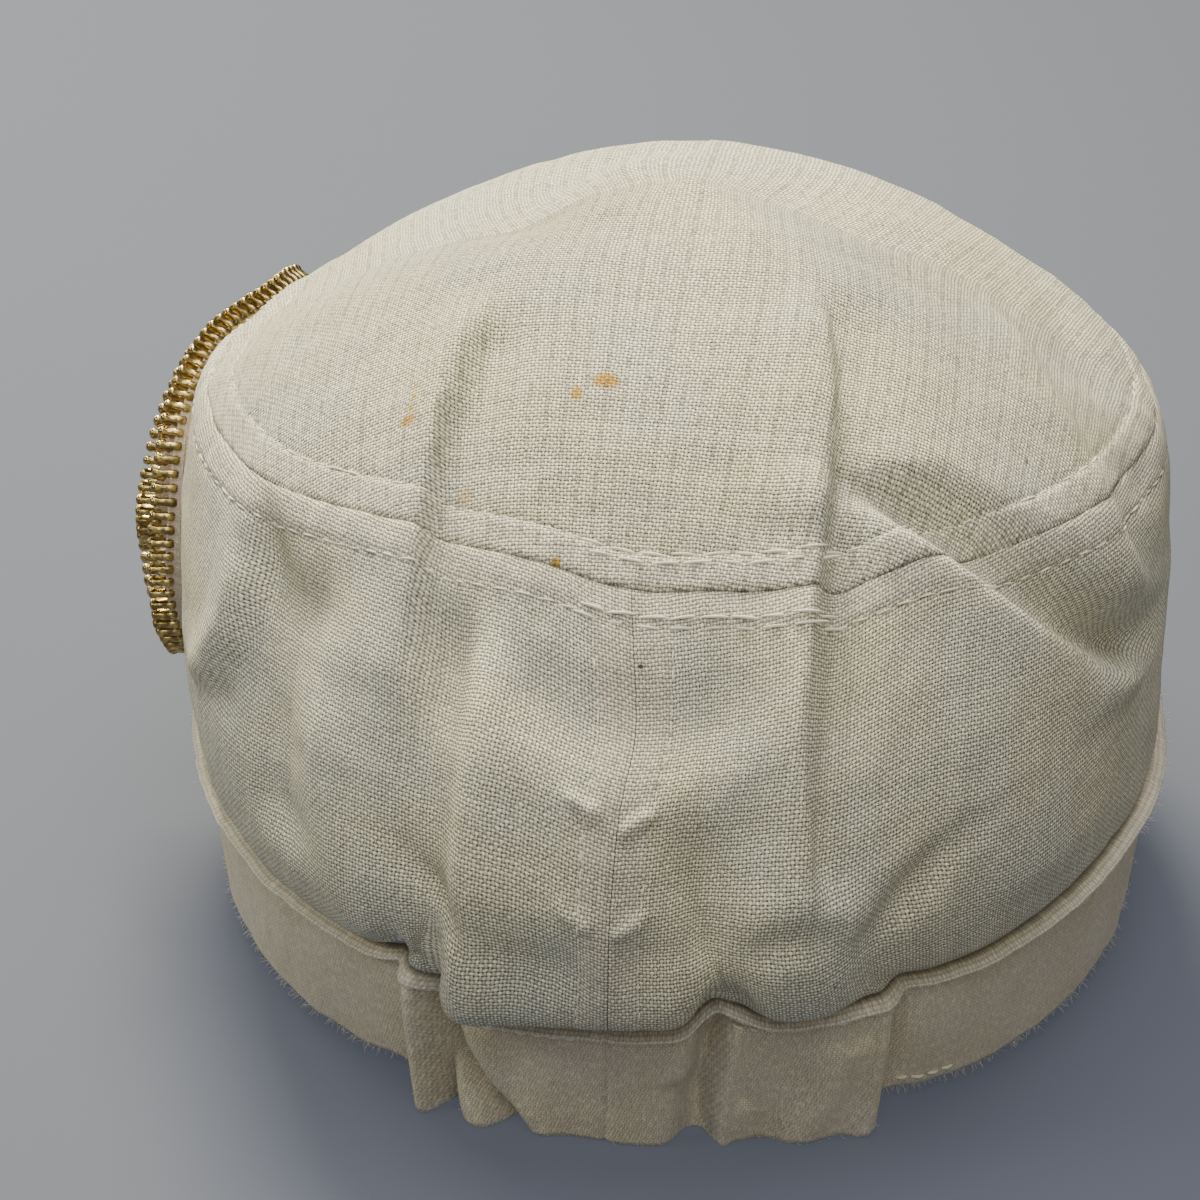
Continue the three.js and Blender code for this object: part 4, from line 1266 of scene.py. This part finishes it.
def camera_matrix():
    """The camera's matrix in the frame, aimed so that its axis meets the middle of the image."""
    back = direction(CAMERA["turn"], CAMERA["elevation"])
    level = (-back).cross(Vector((0, 0, 1))).normalized()
    upright = level.cross(-back)
    place = Vector((0, 0, CAMERA["target_z"])) + back * CAMERA["distance"]
    roll = math.radians(CAMERA["roll"])
    right = level * math.cos(roll) + upright * math.sin(roll)
    up = upright * math.cos(roll) - level * math.sin(roll)
    half = CAMERA["frame_px"] / 2
    across = (half - CAMERA["axis_px"][0]) / CAMERA["focal_px"]
    down = (half - CAMERA["axis_px"][1]) / CAMERA["focal_px"]
    aim = (right * across - up * down - back).normalized()
    right = (right - aim * right.dot(aim)).normalized()
    turned = Matrix((right, right.cross(aim), -aim)).transposed().to_4x4()
    return Matrix.Translation((place + Vector(CAP_SHIFT)) * MM) @ turned


class CAP_OT_stage(bpy.types.Operator):
    """Make the floor, the lights and the camera"""

    bl_idname = "cap.stage"
    bl_label = "Floor, Lights and Camera"

    def execute(self, context):
        scene = context.scene
        self.make_floor(scene)
        world = bpy.data.worlds.new("studio")
        scene.world = world
        world.use_nodes = True
        background = world.node_tree.nodes["Background"]
        background.inputs["Color"].default_value = colour(WORLD["colour"])
        background.inputs["Strength"].default_value = WORLD["strength"]
        for name, azimuth, elevation, distance, size, power, light in LAMPS:
            lamp = bpy.data.lights.new(name, "AREA")
            lamp.shape = "DISK"
            lamp.size = size * MM
            lamp.energy = power
            lamp.color = light
            holder = bpy.data.objects.new(name, lamp)
            offset = direction(azimuth, elevation) * distance
            spot = (Vector((0, 0, LAMP_AIM)) + offset + Vector(CAP_SHIFT)) * MM
            turned = (-offset).to_track_quat("-Z", "Y").to_matrix().to_4x4()
            holder.matrix_world = Matrix.Translation(spot) @ turned
            scene.collection.objects.link(holder)
        lens = bpy.data.cameras.new("camera")
        lens.sensor_width = CAMERA["sensor_mm"]
        lens.lens = CAMERA["focal_px"] / CAMERA["frame_px"] * CAMERA["sensor_mm"]
        camera = bpy.data.objects.new("camera", lens)
        camera.matrix_world = camera_matrix()
        scene.collection.objects.link(camera)
        scene.camera = camera
        return {"FINISHED"}

    @staticmethod
    def make_floor(scene):
        """The plain pale floor."""
        mesh = bpy.data.meshes.new("floor")
        reach = FLOOR["reach"]
        corners = [(-reach, -reach, 0), (reach, -reach, 0), (reach, reach, 0), (-reach, reach, 0)]
        mesh.from_pydata(corners, [], [(0, 1, 2, 3)])
        floor = bpy.data.objects.new("floor", mesh)
        scene.collection.objects.link(floor)
        material, nodes, shader = new_material("floor")
        base = scene.cap_colours.floor
        lighter = tuple(min(value * FLOOR["cloud"], 1.0) for value in base)
        cloud = nodes.noise(object_place(nodes), 3.0)
        nodes.feed(shader.inputs["Base Color"], nodes.mix(cloud, colour(base), colour(lighter)))
        shader.inputs["Roughness"].default_value = 0.8
        # Painted light: the floor glows a little, which lifts the cap's shadow on it and throws soft light up
        # at the cap.
        shader.inputs["Emission Color"].default_value = colour(FLOOR["glow"])
        shader.inputs["Emission Strength"].default_value = 1.0
        mesh.materials.append(material)


def round_stations(step, front_step):
    """Angles round the cap, fine at the back and finest at the centre seam and its rows."""
    return stations((
        (-180.0,), (-110.0, front_step), (-6.0, step), (-5.0, step), (-3.2, 0.2), (-0.9, step), (0.9, 0.15),
        (3.2, step), (5.0, 0.2), (110.0, step), (180.0, front_step),
    ))


def degrees_round(distance):
    """The angle round the cap that spans a distance in mm."""
    return math.degrees(distance / CENTRE_SEAM_RADIUS)


def placed_marks(table, rows, sizes):
    """Marks with their places on the cloth map of the panel that has these rows."""
    count = 200
    placed = []
    for (phi, v), *rest in table:
        _, _, sheet = crown_sheet(np.array((phi, phi + 0.1)), np.linspace(*rows, count), sizes)
        row = int(round((v - rows[0]) / (rows[1] - rows[0]) * (count - 1)))
        placed.append((sheet["cloth"][0, row], *rest))
    return placed


class CAP_OT_crown(bpy.types.Operator):
    """Make the linen top and the two side panels"""

    bl_idname = "cap.crown"
    bl_label = "Crown"

    def execute(self, context):
        sizes = context.scene.cap_sizes
        colours = context.scene.cap_colours
        step = degrees_round(sizes.cloth_step / MM)
        phis = round_stations(step, 3 * step)
        gap = SEAM_GAP / 2 / SIDE_HEIGHT
        near = sizes.allowance / MM / TOP_REACH
        fine, wide = FINE_STEP / TOP_REACH, sizes.cloth_step / MM / TOP_REACH
        top_rows = stations((
            (1 + gap,), (1 + 0.022, fine), (1 + near - 0.012, wide), (1 + near + 0.02, fine), (1.86, wide),
            (2.0, 3 * wide),
        ))
        marks = placed_marks(TOP_MARKS, (1.0, 2.0), sizes)
        linen = linen_material("linen top", sizes, colours, 1.0, marks)
        self.make_panel("crown_top", phis, top_rows, sizes, linen, closed=True, apex=True)

        near = sizes.allowance / MM / SIDE_HEIGHT
        fine, wide = FINE_STEP / SIDE_HEIGHT, sizes.cloth_step / MM / SIDE_HEIGHT
        side_rows = stations((
            (0.0,), (0.355, wide), (0.42, fine), (0.55, wide), (0.63, fine), (1 - near - 0.02, wide),
            (1 - near + 0.012, fine), (1 - 0.025, wide), (1 - gap, fine),
        ))
        marks = placed_marks(SIDE_MARKS, (0.0, 0.998), sizes)
        linen = linen_material("linen side", sizes, colours, 0.0, marks)
        small = degrees_round(SEAM_GAP / 2)
        for name, side in (("side_left", -1), ("side_right", 1)):
            half = phis[(phis * side > 2 * small) & (phis * side < 180 - 2 * small)]
            angles = np.array(sorted((*half, side * small, side * (180 - small))))
            self.make_panel(name, angles, side_rows, sizes, linen)
        return {"FINISHED"}

    @staticmethod
    def make_panel(node, phis, rows, sizes, linen, **ends):
        """One panel of the crown, which replaces its node."""
        outer, inner, sheet = crown_sheet(phis, rows, sizes)
        doubled = {key: sheet[key] for key in ("layers", "centre_layers")}
        panel = wall_object(node + "_linen", outer, inner, sheet["cloth"], doubled, **ends)
        declare(panel, "linen", linen, node)


class CAP_OT_headband(bpy.types.Operator):
    """Make the gathered headband"""

    bl_idname = "cap.headband"
    bl_label = "Headband"

    def execute(self, context):
        sizes = context.scene.cap_sizes
        colours = context.scene.cap_colours
        step = degrees_round(sizes.cloth_step / MM)
        phis = round_stations(0.7 * step, 3 * step)
        us = stations(((0.0,), (0.05, 0.008), (0.84, 0.03), (0.9, 0.015), (1.0, 0.01)))
        phi, u = np.meshgrid(phis, us, indexing="ij")
        outer = band_outer(phi, u, sizes)
        inner = band_point(phi, u, edge_round(u) + band_folds_height(phi, u) - BAND_WALL)
        uv = np.stack((-np.radians(phi) * CENTRE_SEAM_RADIUS, u * BAND_HEIGHT), -1)
        # Lighter along the bead as a painted highlight, where light catches its top, and lighter at the hem
        # from wear.
        wear_and_highlight = bell(u - BEAD["at"], BEAD["spread"]) + HEM_WEAR * (1 - smooth(0.0, 0.06, u))
        band = wall_object("headband_twill", outer, inner, uv, {"wear_and_highlight": wear_and_highlight}, closed=True)
        shades = (colours.twill, colours.twill_worn, colours.twill_wear_and_highlight)
        declare(band, "twill", twill_material("twill band", sizes, *shades), "headband")
        return {"FINISHED"}


class CAP_OT_peak(bpy.types.Operator):
    """Make the stiff peak"""

    bl_idname = "cap.peak"
    bl_label = "Peak"

    def execute(self, context):
        sizes = context.scene.cap_sizes
        colours = context.scene.cap_colours
        half = PEAK["half_angle"]
        phis = stations(((180 - half,), (180 + half, 0.8)))
        rs = stations(((0.0,), (0.9, 0.04), (1.0, 0.02)))
        phi, r = np.meshgrid(phis, rs, indexing="ij")
        t = np.abs(phi - 180) / half
        reach = PEAK["length"] - PEAK["end_length"]
        reach = PEAK["end_length"] + reach * np.maximum(1 - t * t, 0) ** PEAK["taper"]
        root = band_point(phi, EDGE["share"] + 0 * r, PEAK["gap"])
        root_z = hem_height(phi) + PEAK["gap"]
        off = np.maximum(np.abs(phi - 180) - PEAK["flat_angle"], 0)
        tip_z = np.minimum(off * off / PEAK["edge_rise"], root_z)
        a = np.radians(phi)
        forward = unit(np.stack((-np.sin(a) * PEAK["spread"], np.cos(a), np.zeros_like(a)), -1))
        flat = root + forward * (reach * r)[..., None]
        level = root_z + (tip_z - root_z) * (r + PEAK["droop"] * (r * r - r))
        edge = PEAK["thickness"] / 2 * smooth(0.93, 1.0, r)
        upper, lower = flat.copy(), flat.copy()
        upper[..., 2] = level + PEAK["thickness"] - edge
        lower[..., 2] = level + edge
        uv = np.stack((a * CENTRE_SEAM_RADIUS, reach * r), -1)
        peak = wall_object("peak_twill", upper, lower, uv, {})
        face_outwards(peak)
        shades = (colours.twill, colours.twill_worn, colours.twill_wear_and_highlight)
        declare(peak, "twill", twill_material("twill peak", sizes, *shades), "peak")
        return {"FINISHED"}


class CAP_OT_zipper(bpy.types.Operator):
    """Make the two loops of zipper strip on the wearer's left"""

    bl_idname = "cap.zipper"
    bl_label = "Zipper Loops"

    def execute(self, context):
        sizes = context.scene.cap_sizes
        colours = context.scene.cap_colours
        light_tape = tuple(value * TAPE["lighter"] for value in colours.tape)
        tape = twill_material("zipper tape", sizes, colours.tape, light_tape, light_tape)
        brass = brass_material(colours)
        tooth = unit_piece("tooth", tooth_rings())
        size = (TOOTH["length"], TOOTH["width"], TOOTH["height"])
        share = np.linspace(0, 1, TAPE["rows"])[None, :, None]
        for name, loop in (("outer", OUTER_LOOP), ("inner", INNER_LOOP)):
            tip, normal, side, ahead, stand = loop_curve(loop, TAPE["step"])
            foot = tip - normal * (stand - TOOTH["tape_gap"])
            top = tip - normal * (TOOTH["height"] * TAPE["under"])
            line = foot[:, None] + (top - foot)[:, None] * share
            around = np.concatenate((line, line[:1]))
            sideways = np.concatenate((side, side[:1]))[:, None]
            swell = TAPE["swell"] * bell(share[..., 0] - 0.93, 0.06)[..., None]
            outer = around + sideways * (TAPE["wall"] / 2 + swell)
            inner = around - sideways * (TAPE["wall"] / 2 + swell)
            along = np.arange(len(around))[:, None] * TAPE["step"] + 0 * share[..., 0]
            uv = np.stack((along, share[..., 0] * TAPE["height"] + 0 * along), -1)
            strip = wall_object("zip_tape_%s_cloth" % name, outer, inner, uv, {}, closed=True)
            face_outwards(strip)
            declare(strip, "tape", tape, "zip_tape_" + name)
            tip, normal, side, ahead, _ = loop_curve(loop, sizes.tooth_pitch / MM)
            middle = tip - normal * (TOOTH["height"] / 2)
            teeth = set_row("zip_teeth_%s_brass" % name, middle, ahead, normal, tooth, size, 0.03, 0.06,
                            sizes.seed, brass)
            declare(teeth, "brass", brass, "zip_teeth_" + name)
        return {"FINISHED"}


def row_on_sheet(outer, inner, value, target):
    """Line of places where a value that grows along each column meets the target, and the way up."""
    points, ups = [], []
    last = value.shape[1] - 1
    for i in range(len(value)):
        at = np.interp(target, value[i], np.arange(last + 1))
        low = min(int(at), last - 1)
        share = at - low
        points.append(outer[i, low] * (1 - share) + outer[i, low + 1] * share)
        ups.append(outer[i, low] - inner[i, low])
    return np.array(points), np.array(ups)


class CAP_OT_stitching(bpy.types.Operator):
    """Make the topstitching"""

    bl_idname = "cap.stitching"
    bl_label = "Topstitching"

    def execute(self, context):
        sizes = context.scene.cap_sizes
        stitch = unit_piece("stitch", stitch_rings())
        thread = thread_material(context.scene.cap_colours)
        allowance, pitch = sizes.allowance / MM, sizes.stitch_pitch / MM
        rows = {name: [] for name in STITCHES}

        def add_row(name, points, ups):
            """Stitches of one kind along a line."""
            rows[name].append(along_line(points, ups, pitch * STITCHES[name]["pitch"]))

        phis = np.arange(-180.0, 180.1, 0.5)
        for side, reach in ((1, (1.0, 1.12)), (-1, (0.86, 1.0))):
            outer, inner, sheet = crown_sheet(phis, np.linspace(*reach, 60), sizes)
            for distance, first, last, name in CROWN_ROWS:
                part = (phis >= first) & (phis <= last)
                target = side * (allowance + distance)
                add_row(name, *row_on_sheet(outer[part], inner[part], sheet["rise"][part], target))
        outer, inner, sheet = crown_sheet(np.linspace(-7, 7, 57), np.linspace(0.02, 0.9, 120), sizes)
        outer, inner = outer.transpose(1, 0, 2), inner.transpose(1, 0, 2)
        for side in (-1, 1):
            add_row("centre_stitches", *row_on_sheet(outer, inner, sheet["from_centre"].T, side * allowance))
        for u, first, last in BAND_ROWS:
            angles = np.arange(first, last, 0.4)
            add_row("band_stitches", band_outer(angles, 0 * angles + u, sizes), outwards(angles))
        for name, shares in STITCHES.items():
            place, ahead, up = (np.concatenate(parts) for parts in zip(*rows[name]))
            thick = sizes.thread_width / MM * shares["thickness"]
            size = (sizes.stitch_length / MM * shares["length"], thick, thick)
            stitches = set_row(name, place, ahead, up, stitch, size, 0.12, 0.12, sizes.seed, thread)
            declare(stitches, "twill", thread)
        return {"FINISHED"}


class CAP_OT_fibres(bpy.types.Operator):
    """Make the loose fibres on the headband, along its hem, its middle and its bead"""

    bl_idname = "cap.fibres"
    bl_label = "Loose Fibres"

    def execute(self, context):
        sizes = context.scene.cap_sizes
        fibre = unit_piece("fibre", fibre_rings())
        thread = bpy.data.materials["thread"]
        chance = np.random.default_rng(sizes.seed)
        angles = np.concatenate([chance.uniform(-100, 100, count) for _, count in FIBRE_ROWS])
        heights = np.concatenate([np.full(count, u) for u, count in FIBRE_ROWS])
        heights = heights + chance.normal(0.0, 0.012, len(heights))
        points = band_outer(angles, np.clip(heights, 0.0, 1.0), sizes)
        lean = chance.normal(0.0, 0.7, (len(points), 3))
        down = np.where(heights < 0.5, -0.9, 0.2)[:, None] * np.array((0.0, 0.0, 1.0))
        up = outwards(angles) + down + lean
        low = points[:, 2] < FIBRE_FLOOR
        up[low, 2] = np.abs(up[low, 2])
        points[low, 2] += FIBRE_FLOOR / 3
        up = unit(up)
        ahead = unit(np.cross(up, chance.normal(0.0, 1.0, (len(points), 3))))
        fibres = set_row("loose_fibres", points - 0.1 * up, ahead, up, fibre, FIBRE_SIZE, 0.5, 3.1,
                         sizes.seed, thread)
        declare(fibres, "twill", thread)
        return {"FINISHED"}


CLASSES = (
    CapSizes, CapColours, CAP_OT_stage, CAP_OT_crown, CAP_OT_headband, CAP_OT_peak, CAP_OT_zipper,
    CAP_OT_stitching, CAP_OT_fibres,
)
STEPS = ("stage", "crown", "headband", "peak", "zipper", "stitching", "fibres")


class CAP_PT_cap(bpy.types.Panel):
    """Panel in the 3D view's sidebar with the cap's sizes, colours and steps"""

    bl_idname = "CAP_PT_cap"
    bl_label = "Cadet Cap"
    bl_space_type = "VIEW_3D"
    bl_region_type = "UI"
    bl_category = "Cap"

    def draw(self, context):
        for step in STEPS:
            self.layout.operator("cap." + step)
        for group in (context.scene.cap_sizes, context.scene.cap_colours):
            for name in group.__annotations__:
                self.layout.prop(group, name)


def register():
    """Registers the classes and hangs the settings on the scene."""
    for kind in (*CLASSES, CAP_PT_cap):
        bpy.utils.register_class(kind)
    bpy.types.Scene.cap_sizes = PointerProperty(type=CapSizes)
    bpy.types.Scene.cap_colours = PointerProperty(type=CapColours)


def unregister():
    """Takes the settings and the classes away again."""
    del bpy.types.Scene.cap_colours
    del bpy.types.Scene.cap_sizes
    for kind in reversed((*CLASSES, CAP_PT_cap)):
        bpy.utils.unregister_class(kind)


def main():
    """Builds the whole cap."""
    register()
    for step in STEPS:
        getattr(bpy.ops.cap, step)()


if __name__ == "__main__":
    main()
